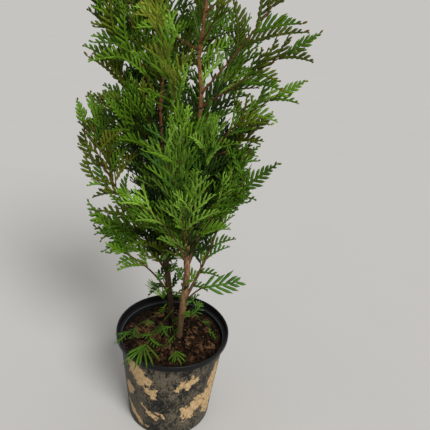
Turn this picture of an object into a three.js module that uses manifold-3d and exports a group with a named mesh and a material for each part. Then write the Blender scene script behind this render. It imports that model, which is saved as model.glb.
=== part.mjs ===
// A thuja in a round nursery pot: two stems, their boughs and flat sprays of foliage, the compost
// and the pot. Millimetres, +Z up, the origin at the centre of the pot's flat underside.
import * as THREE from 'three';
import { mergeVertices } from 'three/addons/utils/BufferGeometryUtils.js';
import Module from 'manifold-3d';

const wasm = await Module();
wasm.setup();

// The pot: a thin tapered wall with a deep rolled lip
const POT_HEIGHT = 178;
const LIP_RADIUS = 95;
const LIP_DEPTH = 10;
const LIP_WALL = 3;
const BASE_RADIUS = 73;
const SHOULDER_RADIUS = 88;
const POT_WALL = 1.8;
const LIP_ROUND = 1.2;
const BASE_THICKNESS = 2.6;
const BASE_EDGE = 3;
const LEDGE_DROP = 12;
const DRAIN_HOLES = 6;
const DRAIN_RADIUS = 6;
const DRAIN_RING = 56;
const DRAIN_FACETS = 10;
const POT_FACETS = 36;

// The compost: filled to 20 mm below the lip, level round the stems and lumpy elsewhere
const SOIL_LEVEL = 158;
const SOIL_LUMP = 2.2;
const SOIL_RINGS = 6;
const LEVEL_ROUND_STEM = 16;
const LUMPS_FADE_IN = 10;
const CLEARANCE = 0.3;

// The stems: height, then how far right of and behind the pot's axis the stem stands there
const FRONT_STEM = {
  knots: [[158.3, 11, -1], [225, 14, -1], [285, 18, 0], [325, 15, 0], [443, 20.5, 1], [577, 20.5, 1],
    [622, 14, 1], [690, 19.5, 2], [800, 17, 3], [905, 21, 4]],
  footRadius: 6.2, tipRadius: 1.1,
};
const BACK_STEM = {
  knots: [[158.3, -3, 46], [212, -8, 45], [322, -23, 44], [453, -29, 45], [541, -36, 46],
    [590, -33.5, 48], [700, -41, 52], [785, -49, 56]],
  footRadius: 5.8, tipRadius: 1.1,
};
const STEM_SIDES = 8;
const STEM_STEP = 36;
const STEM_STEP_GROWTH = 1.25;
const FLARE = 2.4;
const FLARE_HEIGHT = 14;

// The limbs that leave the stems. Each bends in one upright plane, an arc of its own length.
// name, stem, height, compass (0 right, 90 behind), lean from upright at the root and at the tip,
// length, roll of its flat sprays, longest spray, bare length, and 1 where a bough carries the mass
const LIMBS = [
  ['right_top', FRONT_STEM, 577, 5, 40, 26, 245, 62, 74, 52, 1],
  ['right_upper_front', FRONT_STEM, 556, -25, 50, 54, 186, 60, 58, 40, 1],
  ['right_middle_front', FRONT_STEM, 438, -20, 14, 64, 228, 65, 52, 90, 1],
  ['right_middle', FRONT_STEM, 479, 10, 78, 26, 132, 60, 46, 18, 0],
  ['right_middle_back', FRONT_STEM, 390, 22, 29, 62, 150, 58, 44, 35, 0],
  ['right_low_front', FRONT_STEM, 300, -15, 9, 54, 238, 65, 52, 95, 1],
  ['right_inner', FRONT_STEM, 356, -32, 29, 22, 130, 40, 46, 25, 0],
  ['right_low', FRONT_STEM, 233, 30, 31, 6, 235, 60, 44, 60, 1],
  ['right_lowest', FRONT_STEM, 222, 0, 20, 98, 122, 50, 34, 34, 0],
  ['left_outer', BACK_STEM, 311, 185, 44, 13, 276, 118, 48, 90, 1],
  ['left_top', BACK_STEM, 419, 171, 31, -7, 345, 116, 66, 70, 1],
  ['left_middle', BACK_STEM, 280, 196, 24, 76, 162, 115, 54, 45, 0],
  ['left_low', BACK_STEM, 246, 186, 16, 84, 166, 112, 50, 40, 0],
  ['left_lowest', BACK_STEM, 205, 209, 22, 60, 184, 118, 48, 70, 0],
  ['left_inner', BACK_STEM, 536, 195, 26, 9, 200, 125, 56, 30, 0],
  ['left_front_bright', FRONT_STEM, 300, 213, 18, 58, 204, 110, 50, 80, 0],
  ['left_of_leader', FRONT_STEM, 632, 170, 76, 19, 118, 110, 46, 26, 0],
  ['centre_front', FRONT_STEM, 330, 255, 32, 4, 262, 20, 50, 45, 1],
  ['centre_front_top', FRONT_STEM, 509, 244, 52, 14, 245, 30, 60, 40, 1],
  ['centre_right_front', FRONT_STEM, 397, 290, 20, 22, 180, 30, 48, 30, 0],
  ['right_fork', FRONT_STEM, 677, 5, 49, 30, 150, 60, 50, 34, 0],
  ['left_middle_inner', BACK_STEM, 436, 214, 30, 16, 160, 120, 54, 25, 0],
  ['back_low', BACK_STEM, 262, 100, 48, 16, 190, 40, 50, 40, 0],
  ['back_low_right', FRONT_STEM, 300, 58, 46, 20, 190, 70, 50, 45, 0],
  ['back_left', BACK_STEM, 350, 128, 50, 15, 205, 60, 54, 40, 1],
  ['back_right', BACK_STEM, 400, 62, 48, 15, 205, 120, 54, 40, 1],
  ['back_middle', BACK_STEM, 470, 102, 50, 16, 180, -30, 54, 30, 0],
  ['back_upper_right', BACK_STEM, 555, 48, 46, 14, 170, 60, 52, 25, 0],
  ['back_upper', BACK_STEM, 620, 110, 46, 12, 145, 35, 50, 22, 0],
  ['back_top_left', BACK_STEM, 680, 200, 44, 12, 115, 75, 44, 18, 0],
  ['right_back', FRONT_STEM, 520, 52, 46, 18, 185, 115, 54, 40, 0],
  ['front_upper', FRONT_STEM, 640, 300, 46, 14, 150, 40, 52, 26, 0],
  ['back_crown', FRONT_STEM, 705, 75, 45, 15, 135, 125, 50, 22, 0],
  ['left_crown', FRONT_STEM, 735, 192, 46, 12, 125, 110, 48, 20, 0],
  ['front_crown', FRONT_STEM, 775, 298, 42, 12, 112, -35, 46, 18, 0],
  ['right_crown', FRONT_STEM, 812, 32, 42, 12, 98, 60, 42, 16, 0],
  ['top_crown', FRONT_STEM, 852, 165, 40, 10, 82, 70, 38, 14, 0],
  ['front_leader_tip', FRONT_STEM, 905, 300, 3, 8, 46, 20, 26, 0, 0],
  ['back_leader_tip', BACK_STEM, 785, 200, 4, 9, 48, 60, 26, 0, 0],
  ['soil_front_left', BACK_STEM, 174, 249, 78, 93, 148, 5, 42, 76, 0],
  ['soil_left', BACK_STEM, 178, 229, 68, 108, 132, 10, 30, 80, 0],
  ['soil_front', BACK_STEM, 167, 276, 84, 92, 112, 5, 30, 66, 0],
  ['soil_back_right', FRONT_STEM, 196, 49, 60, 96, 48, 10, 20, 12, 0],
  ['soil_back_left', BACK_STEM, 186, 175, 40, 48, 60, 60, 24, 14, 0],
  ['soil_right', FRONT_STEM, 212, 349, 95, 160, 80, 10, 18, 30, 0],
];
const BOUGH_SIDES = 6;
const BOUGH_STEP = 22;
const TWIG_SIDES = 3;
const TWIG_STEP = 34;
const LIMB_TAPER = 0.62;
const LIMB_TIP_RADIUS = 0.7;
const THINNEST_ROOT = 0.8;
const LENGTH_PER_RADIUS = 90;
const SHARE_OF_STEM = 0.7;

// The sprays: flat blades with a tooth for each finger, set alternately along their limb. Angles are
// in degrees from the limb or the spray's rib, and are closer to it towards its tip.
const SPRAY_STEP = 30;
const SPRAY_THICKNESS = 1.2;
const SPRAY_RIB = 1.5;
const SPRAY_STALK = 0.14;
const TOOTH_STEP = 16;
const FEWEST_TEETH = 2;
const FINGER = 22;
const FINGER_PER_SPRAY = 0.42;
const FINGER_WIDTH = 3;
const FINGER_SLANT = 42;
const FINGER_SLANT_CLOSES = 12;
const SPRAY_SLANT = 50;
const SPRAY_SLANT_CLOSES = 14;
const SPRAY_TWIST = 24;
const SPRAY_SHRINKS_TO = 0.55;
const SPRAY_VARIES = 0.24;
const TIP_SPRAY = 0.9;
const SPRAY_GAP = 0.4;
const SHORTEST_SPRAY = 14;
const ROOT_SUNK = 5;

// A spray that isn't clear is tried again, each time shorter, closer to its limb and more twisted
const SPRAY_TRIES = 5;
const TRY_SHORTER = 0.13;
const TRY_CLOSER = 4;
const TRY_TWIST = 16;
const FIRST_SEED = 101;
const SEED_STEP = 17;

const radians = THREE.MathUtils.degToRad;

const colours = {
  pot: [0x1b1d1f, 0.55], compost: [0x35241a, 1], stem: [0x8a6a4c, 0.85], bough: [0x74492f, 0.8],
  foliage: [0x3d7a24, 0.6],
};
const materials = {};
for (const [name, [color, roughness]] of Object.entries(colours)) {
  materials[name] = new THREE.MeshStandardMaterial({ color, roughness, metalness: 0 });
}

function seeded(seed) {
  let state = seed;
  return () => {
    state = (state * 1664525 + 1013904223) % 4294967296;
    return state / 4294967296;
  };
}

function solid(geometry) {
  geometry.deleteAttribute('normal');
  geometry.deleteAttribute('uv');
  const merged = mergeVertices(geometry, 1e-4);
  const mesh = new wasm.Mesh({
    numProp: 3,
    vertProperties: new Float32Array(merged.attributes.position.array),
    triVerts: new Uint32Array(merged.index.array),
  });
  return new wasm.Manifold(mesh);
}

function largestPiece(manifold) {
  const pieces = manifold.decompose();
  pieces.sort((a, b) => b.volume() - a.volume());
  return pieces[0].simplify(0.01);
}

function geometryOf(manifold) {
  const mesh = manifold.getMesh();
  const geometry = new THREE.BufferGeometry();
  geometry.setAttribute('position', new THREE.BufferAttribute(mesh.vertProperties, 3));
  geometry.setIndex(new THREE.BufferAttribute(mesh.triVerts, 1));
  geometry.computeVertexNormals();
  return geometry;
}

// Where a stem's axis is at a height, straight between its knots
function stemAt(stem, z) {
  const { knots } = stem;
  let k = 0;
  while (k < knots.length - 2 && z > knots[k + 1][0]) k += 1;
  const [z0, x0, y0] = knots[k];
  const [z1, x1, y1] = knots[k + 1];
  const share = (z - z0) / (z1 - z0);
  return new THREE.Vector3(x0 + (x1 - x0) * share, y0 + (y1 - y0) * share, z);
}

function stemRadius(stem, z) {
  const bottom = stem.knots[0][0];
  const top = stem.knots[stem.knots.length - 1][0];
  const share = (z - bottom) / (top - bottom);
  const flare = FLARE * Math.exp(-(z - bottom) / FLARE_HEIGHT);
  return stem.footRadius + (stem.tipRadius - stem.footRadius) * share + flare;
}

// A closed round bar bent to an axis: frameAt gives the axis point and the two directions across it
function bentBar(frameAt, radiusAt, sides, steps) {
  const geometry = new THREE.CylinderGeometry(1, 1, 1, sides, steps);
  const position = geometry.attributes.position;
  for (let i = 0; i < position.count; i += 1) {
    const share = position.getY(i) + 0.5;
    const { point, across, over } = frameAt(share);
    const r = radiusAt(share);
    point.addScaledVector(across, position.getX(i) * r).addScaledVector(over, position.getZ(i) * r);
    position.setXYZ(i, point.x, point.y, point.z);
  }
  return geometry;
}

function stemSolid(stem, extra) {
  const bottom = stem.knots[0][0];
  const top = stem.knots[stem.knots.length - 1][0];
  const steps = Math.round((top - bottom) / STEM_STEP);
  const heightAt = (share) => bottom + (top - bottom) * share ** STEM_STEP_GROWTH;
  const frameAt = (share) => ({
    point: stemAt(stem, heightAt(share)),
    across: new THREE.Vector3(1, 0, 0),
    over: new THREE.Vector3(0, -1, 0),
  });
  return solid(bentBar(frameAt, (share) => stemRadius(stem, heightAt(share)) + extra, STEM_SIDES, steps));
}

// The arc of a limb: its point, its heading and the direction across its flat sprays
function makeLimb(row) {
  const [name, stem, height, compass, rootLean, tipLean, length, roll, spray, bare, hasBough] = row;
  const azimuth = radians(compass);
  const lean0 = radians(rootLean);
  const bend = radians(tipLean) - lean0;
  const root = stemAt(stem, height);
  const level = new THREE.Vector3(-Math.sin(azimuth), Math.cos(azimuth), 0);
  const at = (distance) => {
    const lean = lean0 + (bend * distance) / length;
    const out = (length * (Math.cos(lean0) - Math.cos(lean))) / bend;
    const rise = (length * (Math.sin(lean) - Math.sin(lean0))) / bend;
    const point = new THREE.Vector3(Math.cos(azimuth) * out, Math.sin(azimuth) * out, rise).add(root);
    const heading = new THREE.Vector3(
      Math.sin(lean) * Math.cos(azimuth), Math.sin(lean) * Math.sin(azimuth), Math.cos(lean));
    const upright = new THREE.Vector3().crossVectors(heading, level);
    const across = level.clone().multiplyScalar(Math.cos(radians(roll)))
      .addScaledVector(upright, Math.sin(radians(roll)));
    const over = new THREE.Vector3().crossVectors(across, heading);
    return { point, heading, across, over };
  };
  const rootRadius = Math.min(
    THINNEST_ROOT + length / LENGTH_PER_RADIUS, stemRadius(stem, height) * SHARE_OF_STEM);
  const radiusAt = (distance) => (
    rootRadius + (LIMB_TIP_RADIUS - rootRadius) * (distance / length) ** LIMB_TAPER);
  const tipSpray = Math.min(spray * TIP_SPRAY, length - bare - ROOT_SUNK);
  return { name, stem, length, spray, tipSpray, bare, hasBough, at, radiusAt };
}

function limbSolid(limb, from, to, sides, step) {
  const frameAt = (share) => limb.at(from + (to - from) * share);
  const radius = (share) => limb.radiusAt(from + (to - from) * share);
  return solid(bentBar(frameAt, radius, sides, Math.max(2, Math.round((to - from) / step))));
}

// How long the fingers are at a share of a spray's length, as a share of the longest
function fingerShare(along) {
  return Math.min(1, 0.45 + along * 4) * Math.min(1, (1 - along) * 1.9 + 0.1);
}

// A flat spray: a thin blade, its edge cut to the rib between its fingers
function sprayBlade(length) {
  const teeth = Math.max(FEWEST_TEETH, Math.round(length / TOOTH_STEP));
  const finger = Math.min(FINGER, length * FINGER_PER_SPRAY);
  const edge = (side, shift) => {
    const points = [];
    for (let k = 0; k < teeth; k += 1) {
      const along = SPRAY_STALK + ((1 - SPRAY_STALK) * (k + shift)) / teeth;
      const slant = radians(FINGER_SLANT - FINGER_SLANT_CLOSES * along);
      const reach = finger * fingerShare(along);
      const rib = SPRAY_RIB * (1 - 0.5 * along);
      points.push([length * along, rib * side]);
      const tip = length * along + FINGER_WIDTH + reach * Math.cos(slant);
      points.push([Math.min(tip, length), side * (rib + reach * Math.sin(slant))]);
    }
    return points;
  };
  const outline = [[0, 0], ...edge(-1, 0.4), [length, 0], ...edge(1, 0).reverse()];
  const shape = new THREE.Shape(outline.map(([x, y]) => new THREE.Vector2(x, y)));
  const blade = new THREE.ExtrudeGeometry(shape, { depth: SPRAY_THICKNESS, bevelEnabled: false });
  return blade.translate(0, 0, -SPRAY_THICKNESS / 2);
}

// Every solid that is already in its place, so that the next one can keep clear of it
const placed = [];
function place(owner, manifold) {
  placed.push({ owner, manifold, box: manifold.boundingBox() });
}

function isClear(owner, manifold) {
  const box = manifold.boundingBox();
  const near = (other) => [0, 1, 2].every((axis) => (
    other.box.min[axis] < box.max[axis] + SPRAY_GAP && other.box.max[axis] > box.min[axis] - SPRAY_GAP));
  return placed.every((other) => (
    other.owner === owner || !near(other) || manifold.minGap(other.manifold, 1) >= SPRAY_GAP));
}

// One spray of a limb, turned and shortened until it is clear of all that is placed, or left out
function seatSpray(limb, distance, side, longest, draw) {
  const { point, heading, across } = limb.at(distance);
  for (let attempt = 0; attempt < SPRAY_TRIES; attempt += 1) {
    const length = longest * (1 - TRY_SHORTER * attempt);
    const open = SPRAY_SLANT - SPRAY_SLANT_CLOSES * (distance / limb.length) - TRY_CLOSER * attempt;
    const slant = radians(side === 0 ? 0 : open);
    const twist = radians((draw() - 0.5) * (SPRAY_TWIST + TRY_TWIST * attempt));
    const along = heading.clone().multiplyScalar(Math.cos(slant))
      .addScaledVector(across, side * Math.sin(slant));
    const flat = across.clone().addScaledVector(along, -across.dot(along)).normalize();
    flat.applyAxisAngle(along, twist);
    const normal = new THREE.Vector3().crossVectors(along, flat);
    const turn = new THREE.Matrix4().makeBasis(along, flat, normal).setPosition(point);
    if (length >= SHORTEST_SPRAY) {
      const blade = solid(sprayBlade(length).applyMatrix4(turn));
      if (isClear(limb.name, blade)) return blade;
    }
  }
  return null;
}

function spraysOf(limb, seed) {
  const draw = seeded(seed);
  const blades = [];
  const seat = (distance, side, longest) => {
    const blade = seatSpray(limb, distance, side, longest, draw);
    if (blade) {
      place(limb.name, blade);
      blades.push(blade);
    }
  };
  seat(limb.length - limb.tipSpray, 0, limb.tipSpray);
  const last = limb.length - limb.tipSpray;
  const count = Math.max(2, Math.round((last - limb.bare) / SPRAY_STEP));
  for (let k = 0; k < count; k += 1) {
    const share = (k + 0.5) / count;
    const distance = limb.bare + (last - limb.bare) * share;
    const shrunk = 1 - (1 - SPRAY_SHRINKS_TO) * share ** 1.5;
    const longest = limb.spray * shrunk * (1 + SPRAY_VARIES * (draw() - 0.5));
    seat(distance, k % 2 ? -1 : 1, longest);
  }
  return blades;
}

function potSolid() {
  const inner = (radius) => radius - POT_WALL;
  const shoulder = POT_HEIGHT - LIP_DEPTH;
  const ledge = POT_HEIGHT - LEDGE_DROP;
  const profile = [
    [0, 0], [BASE_RADIUS - BASE_EDGE, 0], [BASE_RADIUS - 0.5, BASE_EDGE],
    [SHOULDER_RADIUS, shoulder - 2], [LIP_RADIUS - LIP_ROUND, shoulder],
    [LIP_RADIUS, shoulder + LIP_ROUND], [LIP_RADIUS, POT_HEIGHT - LIP_ROUND],
    [LIP_RADIUS - LIP_ROUND, POT_HEIGHT], [LIP_RADIUS - LIP_WALL, POT_HEIGHT],
    [LIP_RADIUS - LIP_WALL - 1, POT_HEIGHT - 2], [LIP_RADIUS - LIP_WALL - 1.5, ledge + 2],
    [inner(SHOULDER_RADIUS), ledge], [inner(BASE_RADIUS), BASE_THICKNESS], [0, BASE_THICKNESS],
  ];
  const wall = new THREE.LatheGeometry(profile.map(([r, z]) => new THREE.Vector2(r, z)), POT_FACETS);
  let pot = solid(wall.rotateX(Math.PI / 2));
  for (let k = 0; k < DRAIN_HOLES; k += 1) {
    const angle = ((k + 0.5) * 2 * Math.PI) / DRAIN_HOLES;
    const drill = new THREE.CylinderGeometry(
      DRAIN_RADIUS, DRAIN_RADIUS, 4 * BASE_THICKNESS, DRAIN_FACETS);
    drill.rotateX(Math.PI / 2).translate(DRAIN_RING * Math.cos(angle), DRAIN_RING * Math.sin(angle), 0);
    pot = pot.subtract(solid(drill));
  }
  return pot;
}

function compostSolid() {
  const wallAt = (z) => {
    const share = (z - BASE_EDGE) / (POT_HEIGHT - LIP_DEPTH - BASE_EDGE);
    return BASE_RADIUS + (SHOULDER_RADIUS - BASE_RADIUS) * share - POT_WALL - 3 * CLEARANCE;
  };
  const bottom = BASE_THICKNESS + CLEARANCE;
  const rim = wallAt(SOIL_LEVEL);
  const profile = [[0, bottom], [wallAt(bottom) - 2, bottom], [wallAt(bottom + 2) - 1, bottom + 2]];
  for (let k = SOIL_RINGS; k >= 0; k -= 1) profile.push([(rim * k) / SOIL_RINGS, SOIL_LEVEL]);
  const points = profile.map(([r, z]) => new THREE.Vector2(r, z));
  const geometry = new THREE.LatheGeometry(points, POT_FACETS).rotateX(Math.PI / 2);
  const position = geometry.attributes.position;
  const feet = [FRONT_STEM, BACK_STEM].map((stem) => stemAt(stem, stem.knots[0][0]));
  for (let i = 0; i < position.count; i += 1) {
    const x = position.getX(i);
    const y = position.getY(i);
    if (position.getZ(i) > SOIL_LEVEL - 1) {
      const toFoot = Math.min(...feet.map((foot) => Math.hypot(x - foot.x, y - foot.y)));
      const lumpy = THREE.MathUtils.clamp((toFoot - LEVEL_ROUND_STEM) / LUMPS_FADE_IN, 0, 1);
      const lump = Math.sin(x * 0.11 + 1.3) * Math.cos(y * 0.13 - 0.4) + 0.5 * Math.sin(x * 0.23 + y * 0.19);
      position.setZ(i, SOIL_LEVEL + SOIL_LUMP * lumpy * lump - lumpy);
    }
  }
  return solid(geometry);
}

const plant = new THREE.Group();
function add(name, manifold, material) {
  const mesh = new THREE.Mesh(geometryOf(manifold), materials[material]);
  mesh.name = name;
  plant.add(mesh);
}

function build() {
  const pot = potSolid();
  const compost = compostSolid();
  const stems = [['front_stem', FRONT_STEM], ['back_stem', BACK_STEM]];
  place('pot', pot);
  place('compost', compost);
  add('pot', pot, 'pot');
  add('compost', compost, 'compost');
  for (const [name, stem] of stems) {
    const bar = stemSolid(stem, 0);
    place(name, bar);
    add(name, bar, 'stem');
  }
  const limbs = LIMBS.map(makeLimb);
  for (const limb of limbs) {
    const sleeve = stemSolid(limb.stem, CLEARANCE);
    let from = 0;
    if (limb.hasBough) {
      const bough = largestPiece(limbSolid(limb, 0, limb.bare, BOUGH_SIDES, BOUGH_STEP).subtract(sleeve));
      place(`${limb.name}_bough`, bough);
      add(`${limb.name}_bough`, bough, 'bough');
      from = limb.bare + CLEARANCE;
    } else if (limb.bare === 0) {
      from = CLEARANCE;
    }
    const to = limb.length - limb.tipSpray + ROOT_SUNK;
    const twig = limbSolid(limb, from, to, TWIG_SIDES, TWIG_STEP);
    limb.twig = from > 0 ? twig : largestPiece(twig.subtract(sleeve));
    place(limb.name, limb.twig);
  }
  limbs.forEach((limb, index) => {
    const blades = spraysOf(limb, FIRST_SEED + SEED_STEP * index);
    add(limb.name, largestPiece(wasm.Manifold.union([limb.twig, ...blades])), 'foliage');
  });
}

build();
export default plant;
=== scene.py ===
"""The look of a young two-stemmed thuja in its round nursery pot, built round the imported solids.

Lengths are millimetres and angles are degrees. add_piece() turns the finished vertices into metres,
and a finish is given the size of each pattern in millimetres too.
"""
import math

import bpy
import numpy as np
from mathutils import Matrix, Vector


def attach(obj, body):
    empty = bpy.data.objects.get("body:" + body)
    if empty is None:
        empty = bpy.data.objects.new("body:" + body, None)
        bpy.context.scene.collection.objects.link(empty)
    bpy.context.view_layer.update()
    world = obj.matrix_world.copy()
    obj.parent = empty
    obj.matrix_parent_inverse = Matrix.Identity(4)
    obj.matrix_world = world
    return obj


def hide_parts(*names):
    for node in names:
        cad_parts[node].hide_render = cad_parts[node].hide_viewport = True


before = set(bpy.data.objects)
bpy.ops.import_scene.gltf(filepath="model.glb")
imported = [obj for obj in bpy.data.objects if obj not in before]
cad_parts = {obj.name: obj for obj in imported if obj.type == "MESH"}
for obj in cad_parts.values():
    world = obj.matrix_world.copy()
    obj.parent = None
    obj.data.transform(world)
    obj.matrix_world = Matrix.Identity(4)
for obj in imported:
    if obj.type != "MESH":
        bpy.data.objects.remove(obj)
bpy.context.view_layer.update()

MM = 0.001
BODY = "root"
MOST_TRIANGLES = 190000
FAR = 1e9

# The camera, as worked out from the pot's ellipses
IMAGE_SIDE = 430
FOCAL_PIXELS = 488.8
CAMERA_DISTANCE = 655.7
CAMERA_HEIGHT = 727.6
CAMERA_PITCH = 26.76
CAMERA_YAW = 4.69
CAMERA_ROLL = -5.29

# The studio's light and floor, which is in metres
SUN_STRENGTH = 2.9
SUN_SOFTNESS = 26
SUN_COLOUR = (1.0, 0.985, 0.955)
SUN_HEADING = (-0.45, 0.8, -0.95)
ROOM_COLOUR = (1.0, 0.99, 0.975)
ROOM_STRENGTH = 0.55
FLOOR_REACH = 60.0
FLOOR_SIDES = 96
FLOOR_LEVEL = -0.0003

# The pot, and the rounding of its edges
POT_HEIGHT = 178
LIP_RADIUS = 95
LIP_DEPTH = 10
LIP_WALL = 3
BASE_RADIUS = 73
SHOULDER_RADIUS = 88
POT_WALL = 1.8
BASE_THICKNESS = 2.6
LEDGE_DROP = 12
SHOULDER = POT_HEIGHT - LIP_DEPTH
LEDGE = POT_HEIGHT - LEDGE_DROP
FOOT_ROUND = 3.0
UNDER_LIP_ROUND = 1.6
LIP_ROUND = 1.8
INNER_LIP_ROUND = 0.9
LEDGE_ROUND = 1.2
BASE_RINGS = (20, 50, 62)
WALL_RINGS = 34
POT_SIDES = 128
DRAIN_HOLES = 6
DRAIN_RADIUS = 6
DRAIN_RING = 56
DRAIN_SIDES = 20
# Dried clay on the wall: angle right of the front, height, half width in degrees, half height,
# and how far each degree to the right lifts it
CLAY_PATCHES = [
    (-38, 140, 19, 26, -0.9),
    (-22, 104, 9, 11, -0.9),
    (-57, 84, 9, 16, 0),
    (22, 129, 16, 9, 0.7),
    (33, 64, 20, 24, 0.8),
    (62, 80, 14, 62, 0.6),
    (-26, 55, 11, 6, -1.4),
    (-50, 28, 20, 8, -1.0),
    (-8, 50, 7, 4, -0.4),
    (112, 110, 20, 34, 0.5),
    (150, 52, 26, 22, -0.4),
    (-104, 70, 22, 30, 0.7),
    (-140, 128, 20, 20, -0.5),
    (176, 140, 12, 10, 0.3),
]

# The compost
SOIL_LEVEL = 158
SOIL_LUMP = 2.2
SOIL_CRUMB = 0.6
SOIL_SIDES = 120
SOIL_RINGS = 42
LEVEL_ROUND_STEM = 16
# What it is made of: the two ends of the colour, and how coarse the grain is
COMPOST_LOOKS = {
    "composted bark": (((0.002, 0.0008, 0.0003), (0.030, 0.014, 0.006)), 1.4),
    "brown bark chips": (((0.006, 0.003, 0.0015), (0.135, 0.066, 0.028)), 2.0),
    "tan bark flecks": (((0.070, 0.040, 0.018), (0.36, 0.25, 0.13)), 1.6),
}
# The loose chips on it: look, number, shortest, longest, and least and most width as a share of length
CHIPS = {
    "dark": ("composted bark", 1000, 4, 19, 0.35, 0.85),
    "brown": ("brown bark chips", 120, 9, 32, 0.45, 0.9),
    "tan": ("tan bark flecks", 170, 2, 9, 0.12, 0.35),
}
CHIP_CORNERS = 7
CHIP_THICKNESS = (0.5, 2.2)
CHIP_LEAN = 0.32
CHIPS_CLEAR_OF_STEM = 8.5
# Of the pale flecks, shorter than this, a share lies heaped in front of the front stem
FLECK_LENGTH = 10
FLECK_HEAP = (6, -22)
FLECK_SPREAD = 11
FLECK_SHARE = 0.3

# The stems: height, then how far right of and behind the pot's axis the stem stands there
FRONT = {
    "knots": [(158.3, 11, -1), (225, 14, -1), (285, 18, 0), (325, 15, 0), (443, 20.5, 1),
              (577, 20.5, 1), (622, 14, 1), (690, 19.5, 2), (800, 17, 3), (905, 21, 4)],
    "foot_radius": 6.2, "tip_radius": 1.1,
}
BACK = {
    "knots": [(158.3, -3, 46), (212, -8, 45), (322, -23, 44), (453, -29, 45), (541, -36, 46),
              (590, -33.5, 48), (700, -41, 52), (785, -49, 56)],
    "foot_radius": 5.8, "tip_radius": 1.1,
}
STEMS = (FRONT, BACK)
FLARE = 0.9
FLARE_HEIGHT = 14
STEM_SIDES = 24
STEM_STEP = 3.5
STEM_BARK_DEPTH = 0.075
FLUTE_DEPTH = 0.1
FLUTE_HEIGHT = 16
# The swelling where a limb leaves: its share of the stem's radius, how far above the limb's root it is,
# and how far it spreads
LIMB_SWELLING = (0.22, 2, 6)
STUB_STEP = 4.5
STUBS_UP_TO = 420

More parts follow.
